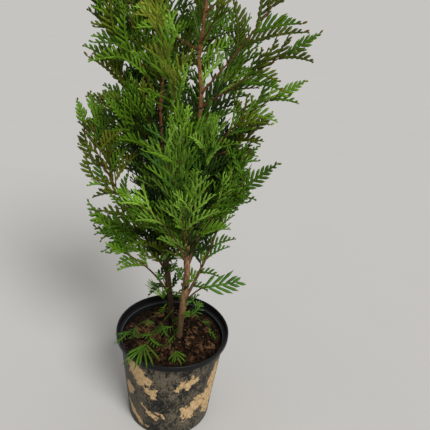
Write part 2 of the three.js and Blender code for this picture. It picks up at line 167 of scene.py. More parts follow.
# The limbs that leave the stems. Each bends in one upright plane, an arc of its own length.
# name, stem, height, compass (0 right, 90 behind), lean from upright at the root and at the tip,
# length, roll of its flat sprays, longest spray, bare length, 1 where a bough carries the mass, and then
# the style of its fingers, its palette of greens, how it grows, and the colour of its sprays' tips.
# Growth: bushy has sprays turned out of their plane and finer twigs, close has these nearer together,
# flat has no turned sprays, airy has no finer twigs, and open has neither.
LIMB_ROWS = [
    ("right_top", FRONT, 577, 5, 40, 26, 245, 62, 74, 52, 1, "bold", "side", "open", "bronze"),
    ("right_upper_front", FRONT, 556, -25, 50, 54, 186, 60, 58, 40, 1, "bold", "side", "airy", "bronze"),
    ("right_middle_front", FRONT, 438, -20, 14, 64, 228, 65, 52, 90, 1, "full", "mixed", "airy", "lime"),
    ("right_middle", FRONT, 479, 10, 78, 26, 132, 60, 46, 18, 0, "full", "side", "bushy", "lime"),
    ("right_middle_back", FRONT, 390, 22, 29, 62, 150, 58, 44, 35, 0, "full", "mixed", "bushy", None),
    ("right_low_front", FRONT, 300, -15, 9, 54, 238, 65, 52, 95, 1, "frond", "low", "bushy", None),
    ("right_inner", FRONT, 356, -32, 29, 22, 130, 40, 46, 25, 0, "slim", "sunny", "bushy", None),
    ("right_low", FRONT, 233, 30, 31, 6, 235, 60, 44, 60, 1, "full", "under", "bushy", None),
    ("right_lowest", FRONT, 222, 0, 20, 98, 122, 50, 34, 34, 0, "comb", "low", "open", None),
    ("left_outer", BACK, 311, 185, 44, 13, 276, 118, 48, 90, 1, "bold", "dry", "flat", "bronze"),
    ("left_top", BACK, 419, 171, 31, -7, 345, 116, 66, 70, 1, "bold", "dry", "airy", "bronze"),
    ("left_middle", BACK, 280, 196, 24, 76, 162, 115, 54, 45, 0, "frond", "shaded", "bushy", None),
    ("left_low", BACK, 246, 186, 16, 84, 166, 112, 50, 40, 0, "frond", "shaded", "airy", None),
    ("left_lowest", BACK, 205, 209, 22, 60, 184, 118, 48, 70, 0, "bold", "shaded", "open", "lime"),
    ("left_inner", BACK, 536, 195, 26, 9, 200, 125, 56, 30, 0, "full", "shaded", "bushy", None),
    ("left_front_bright", FRONT, 300, 213, 18, 58, 204, 110, 50, 80, 0, "slim", "sunny", "open", None),
    ("left_of_leader", FRONT, 632, 170, 76, 19, 118, 110, 46, 26, 0, "full", "golden", "airy", "bronze"),
    ("centre_front", FRONT, 330, 255, 32, 4, 262, 20, 50, 45, 1, "slim", "sunny", "bushy", None),
    ("centre_front_top", FRONT, 509, 244, 52, 14, 245, 30, 60, 40, 1, "slim", "golden", "airy", "lime"),
    ("centre_right_front", FRONT, 397, 290, 20, 22, 180, 30, 48, 30, 0, "slim", "sunny", "bushy", None),
    ("right_fork", FRONT, 677, 5, 49, 30, 150, 60, 50, 34, 0, "bold", "side", "open", "bronze"),
    ("left_middle_inner", BACK, 436, 214, 30, 16, 160, 120, 54, 25, 0, "full", "shaded", "close", None),
    ("back_low", BACK, 262, 100, 48, 16, 190, 40, 50, 40, 0, "full", "shaded", "bushy", None),
    ("back_low_right", FRONT, 300, 58, 46, 20, 190, 70, 50, 45, 0, "full", "shaded", "bushy", None),
    ("back_left", BACK, 350, 128, 50, 15, 205, 60, 54, 40, 1, "full", "shaded", "close", None),
    ("back_right", BACK, 400, 62, 48, 15, 205, 120, 54, 40, 1, "full", "shaded", "bushy", None),
    ("back_middle", BACK, 470, 102, 50, 16, 180, -30, 54, 30, 0, "full", "shaded", "bushy", None),
    ("back_upper_right", BACK, 555, 48, 46, 14, 170, 60, 52, 25, 0, "full", "mixed", "bushy", None),
    ("back_upper", BACK, 620, 110, 46, 12, 145, 35, 50, 22, 0, "full", "golden", "airy", None),
    ("back_top_left", BACK, 680, 200, 44, 12, 115, 75, 44, 18, 0, "full", "mixed", "airy", None),
    ("right_back", FRONT, 520, 52, 46, 18, 185, 115, 54, 40, 0, "full", "mixed", "bushy", None),
    ("front_upper", FRONT, 640, 300, 46, 14, 150, 40, 52, 26, 0, "slim", "golden", "airy", None),
    ("back_crown", FRONT, 705, 75, 45, 15, 135, 125, 50, 22, 0, "full", "mixed", "bushy", None),
    ("left_crown", FRONT, 735, 192, 46, 12, 125, 110, 48, 20, 0, "full", "dry", "bushy", None),
    ("front_crown", FRONT, 775, 298, 42, 12, 112, -35, 46, 18, 0, "full", "golden", "bushy", None),
    ("right_crown", FRONT, 812, 32, 42, 12, 98, 60, 42, 16, 0, "full", "mixed", "bushy", "lime"),
    ("top_crown", FRONT, 852, 165, 40, 10, 82, 70, 38, 14, 0, "full", "mixed", "bushy", None),
    ("front_leader_tip", FRONT, 905, 300, 3, 8, 46, 20, 26, 0, 0, "full", "golden", "bushy", None),
    ("back_leader_tip", BACK, 785, 200, 4, 9, 48, 60, 26, 0, 0, "full", "mixed", "bushy", None),
    ("soil_front_left", BACK, 174, 249, 78, 93, 148, 5, 42, 76, 0, "fan", "low", "airy", None),
    ("soil_left", BACK, 178, 229, 68, 108, 132, 10, 30, 80, 0, "needles", "low", "airy", None),
    ("soil_front", BACK, 167, 276, 84, 92, 112, 5, 30, 66, 0, "small_fan", "low", "airy", None),
    ("soil_back_right", FRONT, 196, 49, 60, 96, 48, 10, 20, 12, 0, "small_fan", "low", "airy", None),
    ("soil_back_left", BACK, 186, 175, 40, 48, 60, 60, 24, 14, 0, "spread", "sunny", "airy", None),
    ("soil_right", FRONT, 212, 349, 95, 160, 80, 10, 18, 30, 0, "needles", "low", "airy", None),
]
LIMB_TAPER = 0.62
LIMB_TIP_RADIUS = 0.7
THINNEST_ROOT = 0.8
LENGTH_PER_RADIUS = 90
SHARE_OF_STEM = 0.7
# A limb that grows this nearly left or right, by the cosine, has its flat sprays in the crown's broad side
BROAD_FROM = 0.75
BARK_GIRTH = 0.68
STEM_GIRTH = 0.76
# How much thicker the stems are about the height where the low boughs leave, and the low boughs themselves
LOW_SWELLING = (0.22, 255, 45)
LOW_BOUGH_SWELLING = (0.3, 222, 60)
LOW_GIRTH = 0.55
# A limb's girth at its very root, how far that reaches, its small nodes and how deep its bark is
COLLAR_GIRTH = 1.3
COLLAR_LENGTH = 7
NODE_SIZE = 0.07
NODE_LENGTH = 2.4
BOUGH_BARK_DEPTH = 0.07
LIMB_STEP = 4

# The barks: name, colour low down and further up, these two heights, and how wide the strips are
BOUGH_BARK = ("young red-brown bark", (0.125, 0.066, 0.034), (0.125, 0.048, 0.020), 200, 700, 1.6)
GREEN_BARK = ("green young bark", (0.060, 0.075, 0.020), (0.09, 0.07, 0.02), 190, 700, 1.6)
STEM_BARKS = (("tan-brown stem bark", (0.222, 0.132, 0.062), (0.240, 0.110, 0.048), 180, 560, 2.4),
              ("dark brown stem bark", (0.088, 0.054, 0.023), (0.210, 0.080, 0.034), 240, 480, 2.4))
# The bark is darkest below the first height and no longer darker above the second, and by what share
FOOT_DARKENING = (172, 262, 0.88)

# The sprays of a limb: the source's own, one that faces each of them, and some turned out of their plane
SPRAY_STEP = 30
SPRAY_SLANT = 50
SPRAY_SLANT_CLOSES = 14
SPRAY_TWIST = 24
SPRAY_SHRINKS_TO = 0.55
SPRAY_VARIES = 0.24
TIP_SPRAY = 0.9
ROOT_SUNK = 5
FIRST_SEED = 101
SEED_STEP = 17
ADDED_SLANT = 42
FACING_SHIFT = 0.27
TURNED_SHIFTS = (0.1, 0.45, 0.8)
TURNED_BY = (30, 150)
TURNED_LENGTH = 0.85
TURNED_VARIES = (0.8, 1.1)
SPRAY_GROWN = 1.1
SPRAY_SAG = 0.05
# A spray leaves its limb this much closer than the source's straight one and arches out to the same tip
ARCH = 17
ARCH_VARIES = (0.8, 1.25)
# The added sprays towards the stem and away from it, as shares of the usual length
SPRAY_SIDES = {"left_outer": (1.5, 0.72), "left_top": (1.15, 1.1), "right_top": (0.8, 1.08),
               "left_middle": (1.5, 1.1), "left_low": (1.3, 1.1), "left_lowest": (1.3, 1.1),
               "left_middle_inner": (1.3, 1.3), "back_left": (1.3, 1.3)}
# The sprays and twigs of the slim upright limbs in front stay this much closer to them
SLIM_SLANT = 0.6

# The finer twigs of the longer limbs, both in the limb's plane and turned out of it
TWIG_STEP = 17
CLOSER_TWIG_STEP = 11
WIDER_TWIG_STEP = 24
# The limbs whose finer twigs all grow towards the stem, so that their outer edge stays open, and the share of
# their leafy length where the first one is
INWARD_TWIGS = {"left_outer": 0.14, "left_middle": 0.0}
TWIG_TURNS = (0, 52, -48, 14, 78, -20)
TWIG_LENGTH = 0.62
LONGEST_TWIG = 120
SHORTEST_TWIG = 34
TWIG_SLANT = 27
TWIG_WIDTH = 1.9
TWIG_BOW = -0.1
TWIG_SAG = 0.02
TWIG_SPRAY_STEP = 13
TWIG_SPRAY = 64
TWIG_SPRAY_SHRINKS = 0.42
TWIG_SPRAY_SLANT = 40
TWIG_SPRAY_CLOSES = 8
TWIG_SPRAY_LIFT = 0.12

# The sprays that grow on the stems: from which height, between which heights none grows in front,
# and the seed
STEM_SPRAYS = [(FRONT, 310, (560, 700), 3), (BACK, 276, (300, 300), 4)]
STEM_SPRAY_STEP = 4.4
STEM_SPRAY_CLOSER = 0.5
CLOSER_BELOW = 440
STEM_SPRAY_LEAN = 40
STEM_SPRAY_LENGTH = 88
STEM_SPRAY_WIDTH = 3.2
STEM_SPRAY_ROLL = 80
LOWEST_STEM_SPRAY = 0.55
IN_FRONT_BELOW = 0.25
SIDEWAYS_FROM = 0.35
GOLDEN_ANGLE = 137.5
# The few small ones below the crown: the limb whose look they take, from and up to which height,
# and how far apart
LOW_STEM_SPRAYS = [("right_low", 196, 300, 8), ("back_low", 204, 300, 6)]
LOW_SPRAY_LENGTHS = (20, 46)
LOW_SPRAY_LEANS = (28, 66)
# How far the broad sides of the added sprays and twigs stray from the crown's broad side
BROAD_STRAYS = 34

# How far the crown's added sprays may reach from the pot's axis: height, then left, right, front and back
CROWN_REACH = [
    (240, 40, 8, 30, 40),
    (290, 92, 26, 48, 70),
    (335, 126, 58, 85, 115),
    (375, 138, 78, 105, 135),
    (440, 138, 94, 112, 145),
    (510, 146, 104, 116, 150),
    (560, 134, 100, 118, 150),
    (640, 130, 106, 115, 145),
    (700, 122, 118, 105, 135),
    (780, 95, 112, 85, 115),
    (860, 60, 80, 60, 85),
    (951, 20, 25, 25, 30),
]
CROWN_MIDDLE = 20
CROWN_ROUNDNESS = 2.4
SHORTENINGS = 6
SHORTENED_TO = 0.86
SHORTEST_SPRAY = 16
# What no shoot comes nearer to than this
CLEAR_OF_STEM = 1.2
CLEAR_OF_SOIL = 1.5
CLEAR_OF_LIP = 0.5

# The fingers of a spray, long on the edge towards the limb's tip and short stubs on the other, and the
# scale-leaved shoots along each finger. By style: step, longest, share of the spray's length, slant, how far
# it closes, width, a stub's share, a last finger's share, where they start and where they begin to shorten,
# a first finger's share, and how far they hang.
FINGER_STYLES = {
    "full": (3.8, 22.0, 0.34, 44, 16, 4.0, 0.38, 0.30, 0.06, 0.44, 0.60, 0),
    "bold": (3.9, 23.0, 0.36, 42, 16, 4.5, 0.40, 0.32, 0.06, 0.42, 0.62, 0),
    "slim": (4.5, 27.0, 0.44, 36, 14, 2.9, 0.50, 0.26, 0.08, 0.50, 0.60, 0),
    "comb": (6.4, 42.0, 0.80, 42, 16, 5.0, 0.80, 0.50, 0.02, 0.50, 0.70, 0),
    "frond": (4.6, 29.0, 0.30, 50, 18, 4.6, 0.78, 0.34, 0.03, 0.40, 0.62, 0),
    "fan": (2.0, 46.0, 3.00, 68, 60, 4.0, 1.00, 0.85, 0.00, 0.80, 0.90, -0.36),
    "small_fan": (2.0, 27.0, 2.20, 64, 52, 3.2, 1.00, 0.80, 0.00, 0.80, 0.90, -0.3),
    "spread": (3.2, 34.0, 1.00, 46, 26, 2.8, 1.00, 0.60, 0.02, 0.60, 0.80, 0),
    "needles": (2.6, 13.0, 0.50, 58, 14, 1.6, 1.00, 0.60, 0.00, 0.70, 0.70, 0),
}
LEAFY_STYLES = ("full", "bold", "slim", "frond")
ONE_SPRAY_STYLES = ("comb", "fan", "small_fan")
STRAIGHT_TIP_STYLES = ("comb", "frond")
# Where a tip spray of these styles starts and how long it is, as shares of the source's, and its own twist
TIP_OF_STYLE = {"comb": (-1.35, 2.0, 12), "frond": (-0.95, 1.95, 10), "fan": (-0.1, 0.46, 0),
                "small_fan": (0.4, 0.46, 0), "spread": (-0.8, 1.6, 0)}
# The small loose sprays along the bare length of some low limbs, as shares of the limb's length
LOOSE_SPRAYS = {"soil_front_left": (0.16, 0.24, 0.3, 0.38, 0.46, 0.54, 0.6),
                "soil_front": (0.16, 0.3, 0.42, 0.52),
                "soil_left": (0.2, 0.34, 0.46), "soil_right": (0.2,),
                "right_low": (0.08, 0.13, 0.18, 0.24), "left_lowest": (0.12, 0.2, 0.3)}
LOOSE_LENGTH = 24
LOOSE_LENGTH_ON_WOOD = 38
LOOSE_SLANT = 70
LOOSE_OWNER = len(LIMB_ROWS) - 1
FEWEST_FINGERS = 5
STUB_SLANT = 8
SHORTEST_FULL_WIDTH = 12
NARROWEST = 0.65
TIP_SPRAY_FINGERS = 0.78
RIB_WIDTH = 2.6
RIB_LENGTH_PER_WIDTH = 42
SHOOT_STEP = 4.2
SHOOT_SLANT = 17
SHOOT_WIDTH = 1.9
SHOOTS_UP_TO = 0.86
SHORTEST_WITH_SHOOTS = 10
FLATNESS = 0.45

# Where a ring of four corners is along a leafy shoot, and its share of the shoot's width
RINGS = {
    "rib": [(0.02, 1.0), (0.25, 0.95), (0.5, 0.85), (0.75, 0.75), (0.93, 0.45)],
    "finger": [(0.14, 0.8), (0.7, 1.0)],
    "shoot": [(0.55, 1.0)],
    "stub": [(0.02, 1.2), (0.45, 0.8), (0.9, 0.7)],
}

# The greens, dealt out by spray: base colour, and roughness
TINTS = {
    "fresh": ((0.160, 0.300, 0.030), 0.56),
    "leaf": ((0.092, 0.194, 0.009), 0.58),
    "deep": ((0.046, 0.110, 0.004), 0.60),
    # The darkest green is painted shade, for the sprays deep inside and beneath the crown
    "shade": ((0.013, 0.032, 0.002), 0.66),
    "olive": ((0.072, 0.102, 0.004), 0.58),
    "gold": ((0.150, 0.184, 0.012), 0.58),
    "sea": ((0.046, 0.130, 0.010), 0.58),
    "bronze": ((0.120, 0.080, 0.010), 0.62),
    "lime": ((0.210, 0.270, 0.018), 0.58),
    "moss": ((0.046, 0.068, 0.003), 0.58),
}
TINT_NUMBERS = {name: number for number, name in enumerate(TINTS)}
# How often a limb's sprays take each green, by the kind of limb: sunny's lighter greens are painted light,
# shaded's and under's darker greens painted shade
PALETTES = {
    "sunny": {"fresh": 0.34, "leaf": 0.44, "sea": 0.12, "deep": 0.10},
    "golden": {"fresh": 0.18, "gold": 0.46, "olive": 0.08, "leaf": 0.22, "lime": 0.06},
    "mixed": {"leaf": 0.46, "olive": 0.16, "fresh": 0.14, "deep": 0.20, "sea": 0.04},
    "dry": {"olive": 0.36, "leaf": 0.26, "gold": 0.16, "moss": 0.14, "deep": 0.08},
    "shaded": {"deep": 0.32, "leaf": 0.44, "olive": 0.20, "shade": 0.04},
    "low": {"sea": 0.10, "deep": 0.80, "leaf": 0.10},
    "side": {"moss": 0.46, "olive": 0.30, "deep": 0.20, "gold": 0.04},
    "under": {"deep": 0.46, "leaf": 0.26, "sea": 0.16, "shade": 0.12},
}
TIP_COLOURED_FROM = 0.9
# The sprays whose middle is this near a stem, below this height, mostly take the darkest green, as painted
# shade
SHADED_WITHIN = 56
SHADED_BELOW = 585
SHADED_SHARE = 0.68
LESS_SHADED_BELOW = 400
LESS_SHADED = 0.34
SHADED_IN_FRONT = 1.5

# The wood that the photograph shows bare, and how far beside it nothing grows in front
BARE_WOOD = [(FRONT, 560, 700), (BACK, 490, 575)]
BARE_LIMB = "right_top"
BARE_BESIDE = 4.6

UP = np.array([0.0, 0.0, 1.0])


def unit(vectors):
    """Each vector at a length of 1"""
    return vectors / np.linalg.norm(vectors, axis=-1, keepdims=True)


def turned(first, second, angle):
    """first turned by an angle towards second, which is square to it"""
    return first * math.cos(angle) + second * math.sin(angle)


def squared(vector, heading):
    """The unit vector square to a heading that is nearest to another vector"""
    return unit(vector - heading * vector.dot(heading))


def points(x, y, z):
    """Points from their coordinates, each a number or an array"""
    return np.stack(np.broadcast_arrays(x, y, z), axis=-1)


def circle(count):
    """Angles evenly round a circle"""
    return np.linspace(0, 2 * np.pi, count, endpoint=False)


def alternate(number):
    """1 for an even number and -1 for an odd one"""
    return 1.0 - 2.0 * (number % 2)


def seeded(seed):
    """The source's own rule of numbers from 0 to 1"""
    state = seed
    while True:
        state = (state * 1664525 + 1013904223) % 4294967296
        yield state / 4294967296


# Finishes

class Value:
    """A shader socket. A sum or product of sockets adds its own Math node."""

    def __init__(self, finish, socket):
        self.finish = finish
        self.socket = socket

    def math(self, operation, *terms):
        return self.finish.node("ShaderNodeMath", {"operation": operation}, dict(enumerate(terms)))

    def __add__(self, other):
        return self.math("ADD", self, other)

    def __sub__(self, other):
        return self.math("SUBTRACT", self, other)

    def __rsub__(self, other):
        return self.math("SUBTRACT", other, self)

    def __mul__(self, other):
        return self.math("MULTIPLY", self, other)

    def __truediv__(self, other):
        return self.math("DIVIDE", self, other)

    def __pow__(self, other):
        return self.math("POWER", self, other)

    __radd__ = __add__
    __rmul__ = __mul__

    def larger(self, other):
        return self.math("MAXIMUM", self, other)

    def between(self, low, high):
        """0 below low, 1 above high, and smooth between them"""
        settings = {"interpolation_type": "SMOOTHSTEP"}
        return self.finish.node("ShaderNodeMapRange", settings, {"Value": self, 1: low, 2: high})


class Finish:
    """A material in the making: its shader, and node() for every other node."""

    def __init__(self, name, **constants):
        self.material = bpy.data.materials.new(name)
        self.material.use_nodes = True
        self.tree = self.material.node_tree
        self.shader = self.tree.nodes["Principled BSDF"]
        for key, value in constants.items():
            self.shader.inputs[key.replace("_", " ")].default_value = value

    def node(self, kind, settings=None, sockets=None, output=0):
        made = self.tree.nodes.new(kind)
        for key, value in (settings or {}).items():
            setattr(made, key, value)
        for key, value in (sockets or {}).items():
            self.feed(made.inputs[key], value)
        return Value(self, made.outputs[output])

    def feed(self, socket, value):
        if isinstance(value, Value):
            self.tree.links.new(value.socket, socket)
        elif isinstance(value, tuple) and len(value) == 3 and socket.type == "RGBA":
            socket.default_value = (*value, 1)
        else:
            socket.default_value = value

    def shade(self, name, value):
        self.feed(self.shader.inputs[name], value)

    def place(self, stretch=(1, 1, 1), turn=(0, 0, 0)):
        """Where the shaded point is in the part's frame, stretched and turned"""
        point = self.node("ShaderNodeTexCoord", output=3)
        angles = tuple(math.radians(angle) for angle in turn)
        return self.node("ShaderNodeMapping", {}, {"Vector": point, "Rotation": angles, "Scale": stretch})

    def axis(self, number):
        """One coordinate of the shaded point"""
        return self.node("ShaderNodeSeparateXYZ", {}, {0: self.place()}, output=number)

    def noise(self, size, detail=3, roughness=0.55, stretch=(1, 1, 1), turn=(0, 0, 0), warp=0):
        """Cloudy noise from 0 to 1, whose clouds are about size millimetres across"""
        sockets = {"Vector": self.place(stretch, turn), "Scale": 1 / (size * MM), "Detail": detail,
                   "Roughness": roughness, "Distortion": warp}
        return self.node("ShaderNodeTexNoise", {}, sockets)

    def mix(self, share, first, second):
        """first where share is 0 and second where it is 1, as colours"""
        settings = {"data_type": "RGBA"}
        return self.node("ShaderNodeMix", settings, {0: share, 6: first, 7: second}, output=2)

    def bump(self, height, depth, strength=1.0):
        """A relief of depth millimetres where height goes from 0 to 1"""
        sockets = {"Height": height, "Distance": depth * MM, "Strength": strength}
        self.shade("Normal", self.node("ShaderNodeBump", {}, sockets))


def scaled(colour, factor):
    return tuple(channel * factor for channel in colour)


def foliage_finish(name, colour, roughness):
    """Scale leaves: one green, a little lighter and darker from spray to spray, slightly waxy"""
    finish = Finish(name, Specular_IOR_Level=0.16)
    clouds = finish.noise(26, detail=2)
    grain = finish.noise(2.2, detail=2)
    share = (clouds * 0.75 + grain * 0.25).between(0.34, 0.66)
    finish.shade("Base Color", finish.mix(share, scaled(colour, 0.66), scaled(colour, 1.34)))
    finish.shade("Roughness", roughness - grain * 0.12)
    finish.bump(grain, 0.25, 0.6)
    return finish.material


def bark_finish(name, low, high, low_level, high_level, strip):
    """Thin bark in lengthwise strips, low's colour near the compost and high's further up"""
    finish = Finish(name, Specular_IOR_Level=0.15)
    height = finish.axis(2)
    climb = height.between(low_level * MM, high_level * MM)
    strips = finish.noise(strip, detail=5, roughness=0.65, stretch=(1, 1, 0.16), warp=0.6)
    patches = finish.noise(9, detail=4, roughness=0.6)
    mottles = finish.noise(5, detail=4, roughness=0.6, turn=(30, 50, 0))
    dark = finish.mix(climb, scaled(low, 0.36), scaled(high, 0.42))
    toned = finish.mix(strips.between(0.38, 0.58), dark, finish.mix(climb, low, high))
    spotted = finish.mix(mottles.between(0.50, 0.64) * 0.85, toned, dark)
    pale = finish.mix(climb, scaled(low, 1.55), scaled(high, 1.5))
    worn = finish.mix(patches.between(0.54, 0.7) * 0.75, spotted, pale)
    # Darker towards the stem's foot, fading out between the two heights
    foot_darkening = (1 - height.between(FOOT_DARKENING[0] * MM, FOOT_DARKENING[1] * MM)) * FOOT_DARKENING[2]
    finish.shade("Base Color", finish.mix(foot_darkening, worn, scaled(low, 0.3)))
    finish.shade("Roughness", 0.92 - strips * 0.25)
    finish.bump(strips, 0.6, 0.9)
    return finish.material


def clay_on(finish, x, y, height):
    """Above 0 inside the ragged patches of clay, and lower further away from them"""
    aside = finish.noise(21, detail=4, roughness=0.6) - 0.5
    raised = finish.noise(21, detail=4, roughness=0.6, turn=(40, 20, 70)) - 0.5
    bearing = x.math("ARCTAN2", x, 0 - y) * (180 / math.pi) + aside * 34
    level = height + raised * (38 * MM)
    clay = None
    for angle, patch_level, half_angle, half_height, slope in CLAY_PATCHES:
        along = (bearing - angle) / half_angle
        up = ((level - patch_level * MM) - (bearing - angle) * (slope * MM)) / (half_height * MM)
        reach = 1 - (along * along + up * up)
        clay = reach if clay is None else clay.larger(reach)
    flakes = finish.noise(9, detail=8, roughness=0.72, warp=0.4) - 0.5
    return clay.larger(-1.4) + flakes * 4.6


def pot_finish():
    """Black moulded plastic, with a mottled dusty film and ragged dried clay on the outside of its wall, and
    a painted highlight along the ledge inside
    """
    finish = Finish("black plastic with dried clay", Specular_IOR_Level=0.15)
    x, y, height = (finish.axis(number) for number in range(3))
    wall = height * ((SHOULDER_RADIUS - BASE_RADIUS) / SHOULDER) + (BASE_RADIUS - 1.3) * MM
    outside = ((x * x + y * y) ** 0.5 - wall).between(0, 0.5 * MM)
    on_wall = outside * (1 - height.between((LEDGE - 3) * MM, (LEDGE - 1.5) * MM))
    crust = clay_on(finish, x, y, height).between(0.02, 0.12) * on_wall
    broad = finish.noise(34, detail=2)
    swirls = finish.noise(7, detail=7, roughness=0.7, stretch=(1, 1, 0.5), turn=(0, 40, 0), warp=2.0)
    scratches = finish.noise(3.4, detail=5, roughness=0.7, stretch=(1, 1, 0.3), turn=(0, -30, 20), warp=1.0)
    specks = finish.noise(2.6, detail=5, roughness=0.8)
    grain = finish.noise(5, detail=7, roughness=0.75)
    cracks = finish.noise(13, detail=5, roughness=0.6, warp=0.8)
    film = (swirls * 0.95 + broad * 0.45 + scratches * 0.5).between(0.87, 1.07) * on_wall
    # A painted highlight: a thin pale bluish band on the inside, along the ledge's edge where it would catch
    # the light
    above_ledge = height.between((LEDGE - 0.4) * MM, LEDGE * MM)
    ledge_highlight_line = above_ledge * (1 - height.between((LEDGE + 1) * MM, (LEDGE + 1.8) * MM))
    plastic = finish.mix(specks, (0.002, 0.002, 0.002), (0.009, 0.010, 0.010))
    painted_ledge_highlight = finish.mix(ledge_highlight_line * (1 - outside) * 0.7, plastic, (0.06, 0.07, 0.074))
    dusty = finish.mix(film * 0.82, painted_ledge_highlight, (0.140, 0.117, 0.080))
    spotted = finish.mix(specks.between(0.6, 0.68) * on_wall * 0.4, dusty, (0.26, 0.215, 0.14))
    tan = finish.mix(grain.between(0.35, 0.65), (0.30, 0.195, 0.095), (0.58, 0.41, 0.22))
    worn = finish.mix(cracks.between(0.56, 0.68) * 0.5, tan, (0.155, 0.105, 0.06))
    finish.shade("Base Color", finish.mix(crust, spotted, worn))
    finish.shade("Roughness", 0.42 + film * 0.32 + crust * 0.24)
    finish.bump(crust * 0.9 + specks * 0.2 + grain * crust * 0.4, 0.8, 0.9)
    return finish.material


def compost_finish(name, colours, grain):
    """Moist composted bark in cloudy tones, with painted shade in its hollows where the fine relief is low"""
    finish = Finish(name, Specular_IOR_Level=0.1)
    clouds = finish.noise(8, detail=4)
    fine = finish.noise(grain, detail=5, roughness=0.7)
    # Cloudy tone of the bark, and painted shade that follows the fine relief's hollows
    share = (clouds * 0.6 + fine * 0.4).between(0.42, 0.6)
    finish.shade("Base Color", finish.mix(share, *colours))
    finish.shade("Roughness", 0.95 - fine * 0.25)
    finish.bump(fine, 0.7, 0.9)
    return finish.material


def floor_finish():
    finish = Finish("pale floor", Roughness=1.0, Specular_IOR_Level=0.0)
    clouds = finish.noise(180, detail=3)
    finish.shade("Base Color", finish.mix(clouds, (0.455, 0.45, 0.44), (0.475, 0.47, 0.46)))
    return finish.material


# Meshes

def placed(name, data):
    """A new object in the scene"""
    made = bpy.data.objects.new(name, data)
    bpy.context.scene.collection.objects.link(made)
    return made


def new_mesh(name, vertices, faces, unit_length=MM):
    mesh = bpy.data.meshes.new(name)
    mesh.from_pydata((np.asarray(vertices, float) * unit_length).tolist(), [], faces)
    return mesh


def add_piece(name, skin, material, replaced=()):
    """A mesh that rides on the plant's body and stands for the named solids"""
    mesh = new_mesh(name, *skin)
    mesh.validate()
    mesh.shade_smooth()
    mesh.materials.append(material)
    piece = placed(name, mesh)
    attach(piece, BODY)
    if replaced:
        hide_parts(*sorted(replaced))
    return piece


def joined(skins):
    """One skin from several"""
    vertices = []
    faces = []
    start = 0
    for part_vertices, part_faces in skins:
        vertices.append(np.asarray(part_vertices, float))
        faces.extend([tuple(index + start for index in face) for face in part_faces])
        start += len(part_vertices)
    return np.concatenate(vertices), faces


def tube(rings):
    """A closed skin over rings of points, each ring a row of the same number of points"""
    count, sides, _ = rings.shape
    faces = []
    for i in range(count - 1):
        for j in range(sides):
            k = (j + 1) % sides
            faces.append((i * sides + j, i * sides + k, (i + 1) * sides + k, (i + 1) * sides + j))
    faces.append(tuple(range((count - 1) * sides, count * sides)))
    faces.append(tuple(range(sides - 1, -1, -1)))
    return rings.reshape(-1, 3), faces


# The stems

def ends(stem):
    """The heights of a stem's foot and tip"""
    return stem["knots"][0][0], stem["knots"][-1][0]


def stem_at(stem, heights):
    """Where a stem's axis is at each height, straight between its knots"""
    levels, x, y = np.array(stem["knots"], float).T
    return points(np.interp(heights, levels, x), np.interp(heights, levels, y), np.asarray(heights, float))


def away_from(stem, point):
    """How far right of and behind a stem's axis each point is"""
    away = point - stem_at(stem, point[:, 2])
    return away[:, 0], away[:, 1]


def stem_radius(stem, heights):
    bottom, top = ends(stem)
    climb = np.asarray(heights, float) - bottom
    flare = FLARE * np.exp(-climb / FLARE_HEIGHT)
    return stem["foot_radius"] + (stem["tip_radius"] - stem["foot_radius"]) * (climb / (top - bottom)) + flare


def swelling(look, height):
    """How much is added to a girth at each height, most at one height and less above and below it"""
    most, level, spread = look
    return most * np.exp(-((height - level) / spread) ** 2)


def bark_relief(angle, along, seed):
    """Lengthwise strips that wander and part, from about -1 to 1"""
    drift = 1.3 * np.sin(along / 31 + seed) + 0.8 * np.sin(along / 13 + 2 * seed)
    broad = 0.45 * np.sin(5 * angle + drift)
    fine = 0.35 * np.sin(9 * angle - 1.7 * drift + seed)
    ragged = 0.25 * np.sin(14 * angle + along / 4.1) * np.sin(along / 9.7 + seed)
    rings = 0.2 * np.sin(along / 5.3 + 2 * np.sin(angle + seed))
    return broad + fine + ragged + rings


def stem_mesh(stem, seed):
    """A stem with its flared and fluted foot, its strips of bark and its swellings"""
    bottom, top = ends(stem)
    heights = np.linspace(bottom, top, int((top - bottom) / STEM_STEP))
    angle = circle(STEM_SIDES)[None, :]
    along = heights[:, None]
    radius = stem_radius(stem, heights)[:, None]
    flutes = FLUTE_DEPTH * radius * np.sin(4 * angle + seed) * np.exp(-(along - bottom) / FLUTE_HEIGHT)
    girth = STEM_GIRTH + swelling(LOW_SWELLING, along)
    swollen = girth * radius + STEM_BARK_DEPTH * radius * bark_relief(angle, along, seed) + flutes
    most, above, spread = LIMB_SWELLING
    for limb in LIMBS:
        if limb.stem is stem:
            facing = np.maximum(0, np.cos(angle - limb.azimuth)) ** 3
            nearness = np.exp(-((along - limb.height - above) / spread) ** 2)
            swollen = swollen + most * radius * facing * nearness
    ring = points(np.cos(angle) * swollen, np.sin(angle) * swollen, 0.0)
    return tube(stem_at(stem, heights)[:, None, :] + ring)


def stem_stubs(stem, rng):
    """The short dead stubs of shed twigs, all round the lower stem"""
    heights = np.arange(ends(stem)[0] + 8, STUBS_UP_TO, STUB_STEP)
    total = len(heights)
    heights = heights + rng.uniform(-2, 2, total)
    compass = rng.uniform(0, 2 * np.pi, total)
    out = points(np.cos(compass), np.sin(compass), 0.0)
    heading = unit(out + UP * rng.uniform(0.4, 1.6, total)[:, None])
    base = stem_at(stem, heights) + out * stem_radius(stem, heights)[:, None] * 0.6
    length = 4 + 5.5 * rng.random(total) ** 2
    return make_rows(base, heading, points(-out[:, 1], out[:, 0], 0.0), length, rng.uniform(1.3, 2.2, total),
                     0.1, 0, 0, 0)


def add_stems():
    rng = np.random.default_rng(12)
    for number, (name, stem) in enumerate(zip(("front_stem", "back_stem"), STEMS)):
        bark = bark_finish(*STEM_BARKS[number])
        add_piece(f"{name}_bark", stem_mesh(stem, 1.7 * number + 0.6), bark, [name])
        add_piece(f"{name}_stubs", spindles(stem_stubs(stem, rng), "stub"), bark)


# The limbs

